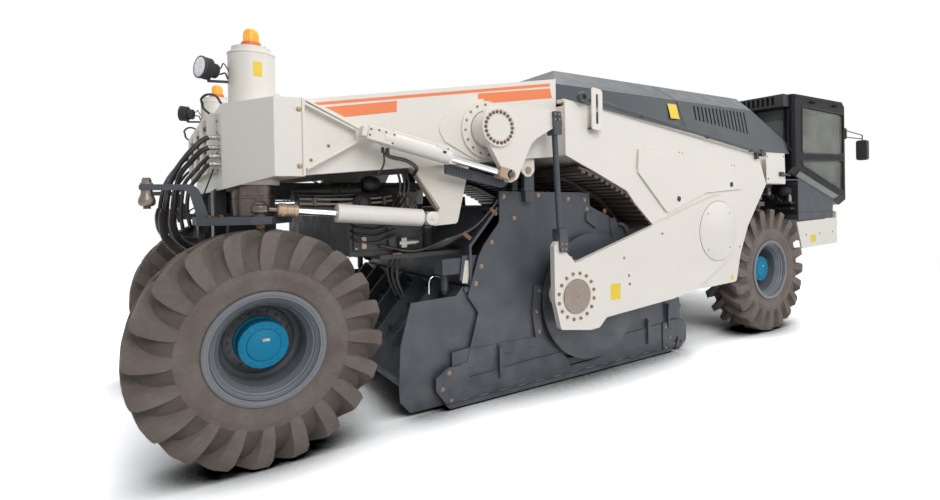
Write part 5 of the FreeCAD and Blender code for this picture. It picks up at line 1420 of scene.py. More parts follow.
    def _gussets(self) -> None:
        """Flange strips and screws of the cylinders' gussets."""
        flange = Maker("gusset_flanges")
        screws = Maker("gusset_screws")
        for side in SIDES:
            for start, end in (((0.262, 2.340), (0.640, 2.158)), ((0.262, 1.885), (0.600, 2.082))):
                flange.bar(at(start[0], side * 1.395, start[1]), at(end[0], side * 1.395, end[1]), 0.014, 0.070)
            for x, z in ((0.415, 2.05), (0.300, 1.95)):
                screws.bolt(at(x, side * 1.371, z), Vector((0, side, 0)), 0.008, 0.008)
        flange.done(CREAM, "frame", bevel=0.003)
        screws.done(ZINC, "frame")

    def _link_heads(self) -> None:
        """Forked heads of the lifting links with their bolts."""
        head = Maker("link_heads")
        screws = Maker("link_head_screws")
        for side in SIDES:
            out = Vector((0, side, 0))
            for (x, z), way in (((2.240, 2.355), -1.0), ((2.290, 1.255), 1.0)):
                lean = (2.290 - 2.240) / (2.355 - 1.255) * -way * -1.0
                outline = [(-0.040, -0.040), (-0.026, -0.047), (0.026, -0.047), (0.040, -0.040), (0.048, 0.060),
                           (0.030, 0.118), (-0.030, 0.118), (-0.048, 0.060)]
                head.plate([(x + a - lean * b, z + way * b) for a, b in outline], side * 1.5715, side * 1.5745)
                for a, b in ((-0.020, -0.022), (0.020, -0.022), (-0.022, 0.022), (0.022, 0.022)):
                    screws.bolt(at(x + a, side * 1.5745, z + way * b), out, 0.0095, 0.002, washer=False)
        head.done(SLATE, "link_rods")
        screws.done(ZINC, "link_rods")

    def _brackets(self) -> None:
        """Folded edges of the steering cylinders' brackets and the base pins' covers."""
        edge = Maker("steer_bracket_edges")
        pin = Maker("steer_base_pins")
        for ahead, way in ((0.0, 1.0), (WHEELBASE, -1.0)):
            for side in SIDES:
                if way > 0:
                    edge.bar(at(1.045, side * 1.285, 1.905), at(1.245, side * 1.285, 1.605), 0.075, 0.010,
                             ACROSS)
                centre = at(ahead + way * 1.183, side * 1.347, 1.530)
                pin.lathe([(0.052, -0.004), (0.052, 0.006), (0.046, 0.010), (0.010, 0.010)], centre,
                          Vector((0, side, 0)), 32)
                pin.bolt(centre + Vector((0, side * 0.010, 0)), Vector((0, side, 0)), 0.014, 0.008)
        edge.done(EDGE_TAN, "frame")
        pin.done(CREAM, "frame")

    def _springs(self) -> None:
        """Coil springs, cream brackets, forks and bare pins at the housing's hangers."""
        spring = Maker("hanger_springs")
        plate = Maker("hanger_plates")
        fork = Maker("hanger_forks")
        pin = Maker("hanger_pins")
        for side in SIDES:
            out = Vector((0, side, 0))
            turns = 9
            path = []
            for i in range(turns * 10 + 1):
                a = 2 * math.pi * i / 10
                path.append(at(1.978 + 0.027 * math.cos(a), side * (1.290 + 0.027 * math.sin(a)),
                               1.905 - 0.165 * i / (turns * 10)))
            spring.tube(path, 0.0055, 6, smooth=False)
            plate.plate([(2.040, 2.010), (2.172, 2.012), (2.172, 1.905), (2.128, 1.858), (2.080, 1.858),
                         (2.035, 1.900)], side * 1.3105, side * 1.322)
            fork.plate([(2.070, 1.925), (2.148, 1.925), (2.150, 1.752), (2.066, 1.752)], side * 1.3105, side * 1.316)
            fork.block((2.062, side * 1.262, 1.738), (2.160, side * 1.318, 1.756))
            spot = at(2.104, side * 1.322, 1.915)
            pin.lathe([(0.030, 0.0), (0.030, 0.010), (0.026, 0.014), (0.012, 0.014), (0.010, 0.018)], spot, out, 28)
        spring.done(BLACK_PLASTIC, "frame")
        plate.done(CREAM, "frame", bevel=0.002)
        fork.done(SLATE, "frame", bevel=0.002)
        pin.done(BRONZE, "frame")


# ---------------------------------------------------------------- engine bay
@dataclass
class EngineBay:
    """Hood, arch, service doors, front box and the stowed tow bar."""

    low_y: float = 1.400
    crease_y: float = 1.300
    crease_z: float = 2.706
    ridge_y: float = 0.950
    ridge_z: float = 2.925
    plate_y: float = 1.4852
    door_y: float = 1.5072

    def build(self) -> None:
        """Makes everything in turn."""
        self._louvres()
        self._hood_lines()
        self._arch()
        self._doors()
        self._front_box()
        self._tow_bar()
        self._arm_marks()

    def _skin(self, ahead: float, z: float, side: int, proud: float = 0.0) -> Vector:
        """A point on the hood's side.

        Args:
            ahead: Distance ahead of the rear axle.
            z: Height.
            side: -1 for the near side, 1 for the far side.
            proud: Distance outwards.

        Returns:
            The point in the row frame.
        """
        foot_z = 2.540 - (ahead - 2.393) * 0.350 / 2.937
        if z > self.crease_z:
            share = (z - self.crease_z) / (self.ridge_z - self.crease_z)
            y = self.crease_y + (self.ridge_y - self.crease_y) * share
        else:
            share = (z - foot_z) / (self.crease_z - foot_z)
            y = self.low_y + (self.crease_y - self.low_y) * max(0.0, share)
        return at(ahead, side * (y + proud), z)

    def _louvres(self) -> None:
        """Dark screens behind the hood's louvres."""
        back = Maker("louvre_screens")
        for side in SIDES:
            back.block((4.330, side * (self.crease_y - 0.085), 2.39), (5.360, side * (self.crease_y - 0.075), 2.69))
        back.done(SEAL_RUBBER, "frame")

    def _hood_lines(self) -> None:
        """Split lines, the blank yellow plate and screws of the hood."""
        line = Maker("hood_split_lines")
        plate = Maker("hood_plates")
        bolts = Maker("hood_screws")
        for side in SIDES:
            out = Vector((0, side, 0.2)).normalized()
            for x0, z0, x1, z1 in ((4.086, 2.700, 4.150, 2.340), (4.065, 2.900, 4.086, 2.712)):
                line.bar(self._skin(x0, z0, side, 0.0008), self._skin(x1, z1, side, 0.0008), 0.007, 0.0015,
                         ALONG)
            plate.panel([self._skin(x, z, side, 0.0015) for x, z in ((3.930, 2.492), (4.072, 2.492), (4.072, 2.655),
                                                                    (3.930, 2.655))], -0.003 * out)
            for i in range(14):
                x = 2.55 + 0.20 * i
                z = 2.540 - (x - 2.393) * 0.350 / 2.937 + 0.035
                bolts.bolt(self._skin(x, z, side, 0.0), out, 0.0055, 0.004, washer=False)
        line.done(SEAL_RUBBER, "frame")
        plate.done(LABEL, "frame")
        bolts.done(BOLT_BROWN, "frame")

    def _arch(self) -> None:
        """Lengthwise rails under the arch's slats."""
        rail = Maker("arch_rails")
        under = [(2.562, 1.890), (2.790, 1.822), (3.160, 1.648), (3.455, 1.378)]
        for y in (-1.05, -0.45, 0.15, 0.75):
            for (x0, z0), (x1, z1) in zip(under, under[1:]):
                rail.bar(at(x0, y, z0), at(x1, y, z1), 0.022, 0.060)
        rail.done(SLAT_BROWN, "frame")

    def _doors(self) -> None:
        """Locks and seams of the service doors, and screws on the front plate."""
        seam = Maker("service_door_seams")
        for side in SIDES:
            shape = [(3.286, 2.130), (5.132, 1.904), (4.960, 1.740), (4.300, 1.700), (3.690, 1.500), (3.270, 1.910)]
            seam.outline_tube(shape, side * (self.plate_y + 0.0012), 0.0045, 0.05)
        seam.done(EDGE_TAN, "frame")
        for name, side in FLANKS:
            lock = Maker(f"service_locks_{name}")
            out = Vector((0, side, 0))
            for x, z in ((3.860, 1.640), (4.760, 1.790)):
                spot = at(x, side * self.door_y, z)
                lock.lathe([(0.028, 0.0), (0.028, 0.004), (0.024, 0.007), (0.010, 0.007)], spot, out, 24)
                lock.bar(spot + Vector((-0.012, side * 0.008, 0)), spot + Vector((0.012, side * 0.008, 0)), 0.006,
                         0.004)
            lock.done(BLACK_PLASTIC, f"service_door_{name}")
        bolts = Maker("front_plate_screws")
        for side in SIDES:
            for x, z in ((4.695, 1.424), (4.929, 1.081), (4.715, 1.042), (4.883, 1.328)):
                bolts.bolt(at(x, side * self.plate_y, z), Vector((0, side, 0)), 0.008, 0.006)
            for x, z in ((4.800, 2.010), (4.850, 2.004), (3.900, 2.120), (3.950, 2.114)):
                bolts.bolt(at(x, side * self.plate_y, z), Vector((0, side, 0)), 0.007, 0.006, washer=False)
        bolts.done(ZINC, "frame")

    def _front_box(self) -> None:
        """Cover plates with screws and catches on the front box's sides."""
        cover = Maker("front_box_covers")
        bolts = Maker("front_box_screws")
        catch = Maker("front_box_catches")
        for side in SIDES:
            out = Vector((0, side, 0))
            y0, y1 = side * (self.plate_y - 0.001), side * (self.plate_y + 0.004)
            cover.plate([(5.492, 1.806), (5.905, 1.806), (5.892, 2.166), (5.486, 2.152)], y0, y1, 0.001)
            for x, z in ((5.512, 2.128), (5.868, 2.138), (5.525, 1.862)):
                bolts.bolt(at(x, side * (self.plate_y + 0.004), z), out, 0.009, 0.007)
            catch.block((5.760, y1, 1.895), (5.838, side * (self.plate_y + 0.034), 1.945))
            catch.tube([at(5.83, side * 1.51, 1.90), at(5.90, side * 1.515, 1.915), at(5.965, side * 1.51, 1.90)],
                       0.012, 10)
        cover.done(CREAM, "frame")
        bolts.done(ZINC, "frame")
        catch.done(DARK_STEEL, "frame", bevel=0.003)

    def _tow_bar(self) -> None:
        """Cream slotted bracket of the tow bar, clamps and the eye's ring."""
        bracket = Maker("tow_bar_bracket")
        outer = [(2.6500, 2.2905), (2.6600, 2.2810), (2.7600, 2.2685), (2.7720, 2.2790), (2.7720, 2.6180),
                 (2.7560, 2.6335), (2.6660, 2.6465), (2.6500, 2.6330)]
        slot = [(2.6918, 2.3340), (2.7020, 2.3220), (2.7200, 2.3200), (2.7300, 2.3310), (2.7300, 2.5880),
                (2.7200, 2.5980), (2.7020, 2.6005), (2.6918, 2.5900)]
        for near, far in ((-1.5555, -1.5530), (-1.5445, -1.5420)):
            rings = [[bracket.bm.verts.new(at(x, y, z)) for x, z in line]
                     for y in (near, far) for line in (outer, slot)]
            for one, two in ((0, 1), (2, 3), (0, 2), (1, 3)):
                for i in range(8):
                    j = (i + 1) % 8
                    bracket.bm.faces.new((rings[one][i], rings[one][j], rings[two][j], rings[two][i]))
        bracket.outline_tube(outer, -1.5488, 0.0058, 0.006)
        bracket.outline_tube(slot, -1.5488, 0.0058, 0.006)
        bracket.done(CREAM, "frame")
        ring = Maker("tow_bar_eye")
        centre = at(2.562, -1.525, 2.556)
        ring.lathe([(0.025, -0.024), (0.046, -0.024), (0.051, -0.016), (0.051, 0.016), (0.046, 0.024), (0.025, 0.024),
                    (0.025, -0.024)], centre, ACROSS, 36, ends=False)
        bmesh.ops.remove_doubles(ring.bm, verts=ring.bm.verts, dist=MERGE)
        for x in (3.3, 4.3, 5.1):
            z = 2.548 - (x - 2.602) * 0.392 / 2.743
            ring.lathe([(0.024, 0.0), (0.024, 0.035)], at(x, -1.525, z), Vector((1, 0, -0.143)), 20)
        ring.done(SLATE, "frame")

    def _arm_marks(self) -> None:
        """Blank plates on the rotor's arms."""
        plate = Maker("arm_plates")
        for side in SIDES:
            plate.plate([(2.840, 0.727), (2.966, 0.727), (2.966, 0.873), (2.840, 0.873)], side * 1.5502,
                        side * 1.5510)
        plate.done(LABEL, "rotor_arms")
        small = Maker("front_plate_labels")
        for side in SIDES:
            small.plate([(4.751, 0.722), (4.806, 0.718), (4.806, 0.769), (4.751, 0.773)], side * 1.4852, side * 1.4862)
        small.done(LABEL, "frame")


# ---------------------------------------------------------------- rotor housing
@dataclass
class Chamber:
    """Screws, plates, seams and teeth of the rotor housing."""

    side_y: float = 1.2502
    strip_y: float = 1.2842

    def build(self) -> None:
        """Makes everything in turn."""
        self._screws()
        self._plates()
        self._seams()
        self._gate()
        self._picks()

    def _screws(self) -> None:
        """Bolts of the side plates, guide strips and runners' ends."""
        maker = Maker("housing_bolts")
        for side in SIDES:
            out = Vector((0, side, 0))
            for x, z in ((1.996, 1.502), (1.763, 1.308), (1.658, 1.112), (1.604, 0.976), (2.257, 1.699),
                         (1.890, 1.690), (2.600, 1.660), (2.800, 1.650), (2.830, 1.560)):
                maker.bolt(at(x, side * self.side_y, z), out, 0.0155, 0.013)
            for x, z in ((2.232, 0.850), (2.196, 0.668), (2.220, 0.490)):
                maker.bolt(at(x, side * self.strip_y, z), out, 0.013, 0.010)
            for x, z in ((1.335, 0.293), (1.275, 0.174), (1.348, 0.070), (3.890, 0.277), (3.952, 0.160),
                         (3.890, 0.048)):
                maker.bolt(at(x, side * 1.2762, z), out, 0.014, 0.011)
        maker.done(ZINC, "frame")

    def _plates(self) -> None:
        """Blank plates, the pale plate on its bracket, a cover with screws and an elbow hose on the housing."""
        label = Maker("housing_plates")
        holder = Maker("housing_plate_holders")
        cover = Maker("housing_covers")
        bolts = Maker("housing_cover_bolts")
        hose = Maker("housing_elbow_hoses")
        for side in SIDES:
            out = Vector((0, side, 0))
            holder.plate([(1.478, 1.010), (1.505, 1.208), (1.640, 1.206), (1.600, 1.080), (1.560, 0.960)], side * 1.206,
                         side * 1.214)
            label.plate([(1.498, 0.985), (1.548, 0.978), (1.580, 1.162), (1.530, 1.169)], side * 1.214, side * 1.2165)
            cover.plate([(2.812, 1.527), (2.893, 1.537), (2.998, 1.470), (2.928, 1.372), (2.804, 1.452)],
                        side * self.side_y, side * 1.268, 0.004)
            cover.plate([(3.118, 1.455), (3.196, 1.470), (3.262, 1.300), (3.230, 1.215), (3.150, 1.235),
                         (3.132, 1.330)], side * 1.210, side * 1.262, 0.004)
            for x, z in ((2.835, 1.508), (2.885, 1.512), (2.965, 1.462), (2.925, 1.400), (2.826, 1.460)):
                bolts.bolt(at(x, side * 1.268, z), out, 0.0085, 0.006, washer=False)
            for x, z in ((3.145, 1.435), (3.185, 1.440), (3.160, 1.260), (3.228, 1.255)):
                bolts.bolt(at(x, side * 1.262, z), out, 0.008, 0.006, washer=False)
            bolts.lathe([(0.026, 0.0), (0.026, 0.014), (0.018, 0.018)], at(3.060, side * 1.245, 1.535), out, 20)
            hose.tube([at(3.196, side * 1.235, 1.375), at(3.250, side * 1.240, 1.398), at(3.320, side * 1.240, 1.385),
                       at(3.372, side * 1.235, 1.325), at(3.385, side * 1.225, 1.245), at(3.380, side * 1.200, 1.170)],
                      0.026, 14, ribs=0.004)
            holder.plate([(3.900, 0.636), (4.020, 0.600), (4.115, 0.540), (4.168, 0.478), (4.160, 0.440),
                          (4.100, 0.405), (4.050, 0.400), (3.900, 0.400)], side * self.side_y, side * 1.2602)
            holder.plate([(4.030, 0.312), (4.085, 0.338), (4.200, 0.302), (4.240, 0.240), (4.226, 0.085),
                          (4.120, 0.012), (4.050, 0.030), (4.092, 0.110), (4.092, 0.270)], side * self.side_y,
                         side * 1.2722, 0.002)
            bolts.bolt(at(4.140, side * 1.2722, 0.085), out, 0.012, 0.009)
        label.done(CREAM_SOILED, "frame")
        holder.done(SLATE, "frame")
        cover.done(SLATE, "frame")
        bolts.done(BOLT_BROWN, "frame")
        hose.done(SLEEVE, "frame", 20.0)

    def _seams(self) -> None:
        """Doubling strips, weld lines and fold lines on the side plates and runners."""
        weld = Maker("housing_welds")
        dash = Maker("runner_welds")
        band = Maker("housing_doublers")
        for side in SIDES:
            y = side * (self.side_y + 0.001)
            for x in (1.62, 1.85, 2.08, 3.05, 3.28, 3.51, 3.74):
                weld.bar(at(x, y, 0.345), at(x + 0.10, y, 0.345), 0.006, 0.006)
            weld.bar(at(1.52, side * 1.2625, 0.213), at(2.247, side * 1.2625, 0.250), 0.007, 0.004)
            weld.bar(at(1.45, side * 1.2625, 0.110), at(3.90, side * 1.2625, 0.110), 0.007, 0.004)
            for i in range(13):
                x = 1.42 + 0.195 * i
                dash.bar(at(x, side * 1.2600, 0.047), at(x + 0.085, side * 1.2600, 0.047), 0.006, 0.006)
            band.plate([(1.500, 0.330), (2.250, 0.372), (2.250, 0.440), (1.544, 0.448)], side * self.side_y,
                       side * (self.side_y + 0.006), 0.002)
            band.block((1.300, side * 1.2505, 0.0440), (3.990, side * 1.2595, 0.0615))
        weld.done(SLATE, "frame")
        dash.done(PLATED, "frame")
        band.done(SLATE, "frame")

    def _gate(self) -> None:
        """Cross strips on the rear gate's wall."""
        maker = Maker("rear_gate_strips")
        for z in (0.56, 0.74, 0.88):
            x = 1.060 + (z - 0.480) * (1.500 - 1.060) / (0.93 - 0.48)
            maker.bar(at(x - 0.012, -1.02, z), at(x - 0.012, 1.02, z), 0.035, 0.012)
        maker.done(DARK_STEEL, "gate_rear")

    def _picks(self) -> None:
        """Round-shank cutting teeth in their holders, wound round the rotor."""
        tooth = Maker("rotor_picks")
        holder = Maker("rotor_pick_holders")
        centre = at(2.440, 0.0, 0.812)
        rows = 56
        for i in range(rows):
            y = -1.13 + 2.26 * i / (rows - 1)
            for k in range(2):
                a = 2.4 * i + math.pi * k
                radial = Vector((math.cos(a), 0, math.sin(a)))
                forward = Vector((math.sin(a), 0, -math.cos(a)))
                foot = centre + radial * 0.545 + Vector((0, y, 0))
                lean = (radial * 0.75 + forward * 0.66).normalized()
                holder.bar(foot - forward * 0.02, foot + lean * 0.075, 0.058, 0.050, forward)
                tooth.lathe([(0.021, 0.070), (0.021, 0.086), (0.014, 0.090), (0.012, 0.118), (0.003, 0.145)], foot,
                            lean, 10)
        holder.done(DARK_STEEL, "rotor")
        tooth.done(PICK_STEEL, "rotor")


# ---------------------------------------------------------------- units under the rear frame
@dataclass
class Modules:
    """Pumps, filters, hoses and boxes hung between the rear frame and the housing."""

    wall_y: float = 1.0505

    def build(self) -> None:
        """Makes everything in turn."""
        self._filters()
        self._hoses()
        self._upper_drives()
        self._pipes()
        self._wall_boxes()
        self._gate_gear()

    def _filters(self) -> None:
        """Spin-on filters, pump bodies and clamps on the shelf."""
        can = Maker("filter_cans")
        band = Maker("filter_bands")
        for side in SIDES:
            for x, y, r, z0, h in ((1.340, 0.860, 0.0785, 1.251, 0.330), (1.340, 0.640, 0.0605, 1.251, 0.420)):
                foot = at(x, side * y, z0)
                can.lathe([(r, 0.0), (r + 0.001, h * 0.3), (r, h)], foot, UP, 32, ends=False)
                band.lathe([(r + 0.001, h * 0.55), (r + 0.006, h * 0.56), (r + 0.006, h * 0.62), (r + 0.001, h * 0.63)],
                           foot, UP, 32, ends=False)
            pump = at(0.760, side * 0.990, 1.660)
            band.lathe([(0.0705, -0.120), (0.0740, -0.118), (0.0740, -0.100), (0.0705, -0.098)], pump,
                       Vector((0, side, 0)), 32, ends=False)
            can.lathe([(0.0705, 0.0), (0.0705, 0.008), (0.060, 0.020), (0.034, 0.030), (0.030, 0.046), (0.012, 0.046)],
                      pump, Vector((0, side, 0)), 32)
        can.done(DARK_STEEL, "frame")
        band.done(OILY_STEEL, "frame")

    def _hoses(self) -> None:
        """Bundled hoses along the shelf and up the housing's edge, clipped at both ends."""
        maker = Maker("housing_hoses")
        clip = Maker("hose_clips")
        for side in SIDES:
            for n in range(5):
                y = side * (1.105 + 0.029 * n)
                rise = 0.015 * n
                maker.tube([at(0.86, side * (1.00 + 0.020 * n), 1.266 + rise),
                            at(1.13, side * (1.03 + 0.020 * n), 1.268), at(1.34, y, 1.285 + rise),
                            at(1.50, y, 1.330 + rise), at(1.635, y, 1.392 + rise), at(1.775, y, 1.515 + rise),
                            at(1.868, y, 1.625 + rise), at(1.930, y - side * 0.02, 1.690 + rise),
                            at(2.020, y - side * 0.08, 1.745 + rise)], 0.0115, 10)
            for x, z in ((1.530, 1.343), (1.790, 1.535)):
                clip.bar(at(x, side * 1.162, z + 0.016), at(x + 0.020, side * 1.162, z + 0.042), 0.150, 0.086,
                         ACROSS)
            clip.block((0.95, side * 1.000, 1.2505), (1.02, side * 1.120, 1.262))
            for n in range(3):
                x = 0.97 + 0.035 * n
                maker.tube([at(x, side * 1.20, 1.890), at(x + 0.020, side * 1.195, 1.80),
                            at(x + 0.010, side * 1.17, 1.71), at(x - 0.020, side * 1.10, 1.62),
                            at(x - 0.020, side * 1.045, 1.60)], 0.0095, 10)
        maker.done(HOSE, "frame")
        clip.done(BOLT_BROWN, "frame")

    def _upper_drives(self) -> None:
        """Long dark drives, rounded caps and ribbed covers under the rear frame."""
        maker = Maker("upper_drives")
        cap = Maker("upper_drive_caps")
        for side in SIDES:
            ahead = ALONG
            maker.lathe([(0.020, 0.0), (0.030, 0.03), (0.034, 0.18), (0.044, 0.22), (0.052, 0.30), (0.056, 0.46),
                         (0.050, 0.50), (0.030, 0.51)], at(0.270, side * 0.900, 1.752), ahead, 32)
            for i in range(5):
                maker.lathe([(0.054, 0.0), (0.060, 0.004), (0.060, 0.012), (0.054, 0.016)],
                            at(0.560 + 0.035 * i, side * 0.900, 1.752), ahead, 32, ends=False)
            cap.lathe([(0.010, -0.075), (0.042, -0.068), (0.060, -0.040), (0.064, 0.0), (0.058, 0.045), (0.036, 0.070),
                       (0.010, 0.076)], at(0.860, side * 0.900, 1.806), ahead, 32)
            maker.block((0.300, side * 0.700, 1.700), (0.560, side * 0.860, 1.732))
            maker.block((0.600, side * 0.600, 1.790), (1.300, side * 0.820, 1.818))
        maker.done(DARK_STEEL, "frame", bevel=0.004)
        cap.done(BLACK_PLASTIC, "frame")

    def _pipes(self) -> None:
        """Pale and bare pipes with their clamps that run lengthwise above the drives' shelf."""
        pale = Maker("long_pipes_pale")
        bare = Maker("long_pipes_bare")
        clamp = Maker("long_pipe_clamps")
        for side in SIDES:
            for z, y in ((1.690, 0.965), (1.655, 0.975)):
                pale.tube([at(0.310, side * y, z + 0.004), at(0.560, side * y, z - 0.003), at(0.760, side * y, z),
                           at(0.900, side * (y - 0.01), z + 0.004), at(1.020, side * (y - 0.03), z + 0.018)], 0.0085,
                          10)
            bare.tube([at(0.300, side * 0.950, 1.722), at(0.500, side * 0.955, 1.716), at(0.680, side * 0.955, 1.722),
                       at(0.830, side * 0.945, 1.716), at(1.000, side * 0.930, 1.735)], 0.0115, 10)
            bare.tube([at(0.330, side * 0.940, 1.632), at(0.560, side * 0.950, 1.620), at(0.800, side * 0.950, 1.628),
                       at(0.960, side * 0.930, 1.612)], 0.0135, 10)
            for x in (0.400, 0.720, 0.930):
                clamp.block((x, side * 0.925, 1.640), (x + 0.026, side * 0.990, 1.705))
        pale.done(EDGE_TAN, "frame")
        bare.done(HOSE, "frame")
        clamp.done(OILY_STEEL, "frame", bevel=0.003)

    def _wall_boxes(self) -> None:
        """Electrical boxes, a bronze cooler cap, valves and cover plates on the drives' housing."""
        pale = Maker("electrical_boxes")
        dark = Maker("wall_covers")
        bronze = Maker("wall_bronze_caps")
        plated = Maker("wall_valves")
        lead = Maker("wall_leads")
        for side in SIDES:
            out = Vector((0, side, 0))
            pale.block((1.065, side * 0.900, 1.600), (1.215, side * 1.000, 1.742))
            pale.block((1.225, side * 0.880, 1.640), (1.285, side * 0.960, 1.760))
            for n, (x, z) in enumerate(((1.095, 1.705), (1.140, 1.700), (1.185, 1.660), (1.105, 1.640))):
                plated.lathe([(0.013, 0.0), (0.013, 0.010), (0.009, 0.014), (0.009, 0.026)], at(x, side * 1.000, z),
                             out, 12)
                lead.tube([at(x, side * 1.022, z), at(x + 0.004, side * 1.035, z - 0.03),
                           at(x - 0.01 * n, side * 1.030, z - 0.075), at(x - 0.02, side * 1.020, 1.602)], 0.0045, 8)
            dark.block((0.665, side * self.wall_y, 1.290), (0.905, side * (self.wall_y + 0.012), 1.560))
            dark.block((0.930, side * self.wall_y, 1.420), (1.215, side * (self.wall_y + 0.010), 1.575))
            dark.block((0.935, side * self.wall_y, 1.275), (1.000, side * (self.wall_y + 0.020), 1.400))
            bronze.block((0.724, side * (self.wall_y + 0.012), 1.305), (0.764, side * (self.wall_y + 0.020), 1.400))
            plated.lathe([(0.024, 0.0), (0.024, 0.145), (0.019, 0.150), (0.019, 0.162)],
                         at(1.015, side * (self.wall_y + 0.028), 1.338), ALONG, 16)
            plated.block((1.030, side * self.wall_y, 1.300), (1.075, side * (self.wall_y + 0.050), 1.376))
            for x, z in ((0.685, 1.540), (0.885, 1.540), (0.685, 1.310), (0.885, 1.310)):
                plated.bolt(at(x, side * (self.wall_y + 0.012), z), out, 0.008, 0.005, washer=False)
            lead.tube([at(1.160, side * (self.wall_y + 0.028), 1.350), at(1.205, side * (self.wall_y + 0.035), 1.380),
                       at(1.225, side * (self.wall_y + 0.020), 1.450), at(1.200, side * self.wall_y, 1.520)], 0.006, 8)
            for n in range(3):
                z = 1.500 - 0.05 * n
                lead.tube([at(0.650, side * 1.052, z), at(0.700, side * 1.078, z - 0.03),
                           at(0.820, side * 1.080, z - 0.05), at(0.940, side * 1.072, z - 0.02),
                           at(0.990, side * 1.055, z)], 0.0085, 10)
        pale.done(PLATED, "frame", bevel=0.006)
        dark.done(DARK_STEEL, "frame", bevel=0.004)
        bronze.done(BRONZE, "frame", bevel=0.003)
        plated.done(PLATED, "frame")
        lead.done(HOSE, "frame")

    def _gate_gear(self) -> None:
        """Small cylinders, bent handles and hoses that hang behind the shelf over the rear gate."""
        dark = Maker("gate_cylinders")
        bare = Maker("gate_handles")
        hose = Maker("gate_hoses")
        down = Vector((0, 0, -1))
        for side in SIDES:
            dark.lathe([(0.030, 0.0), (0.030, 0.150), (0.022, 0.156), (0.022, 0.175)], at(1.405, side * 1.085, 1.065),
                       down, 20)
            dark.block((1.330, side * 1.040, 1.060), (1.560, side * 1.200, 1.190))
            bare.tube([at(1.262, side * 1.090, 0.905), at(1.264, side * 1.090, 1.000), at(1.282, side * 1.090, 1.036),
                       at(1.320, side * 1.090, 1.044), at(1.375, side * 1.085, 1.030)], 0.0055, 8)
            for n in range(3):
                y = side * (0.92 - 0.10 * n)
                hose.tube([at(1.10, y, 1.212), at(1.06, y, 1.10), at(1.075, y, 0.98), at(1.13, y, 0.86)], 0.010, 10)
        dark.done(SLATE, "frame", bevel=0.004)
        bare.done(CHROME, "frame")
        hose.done(HOSE, "frame")


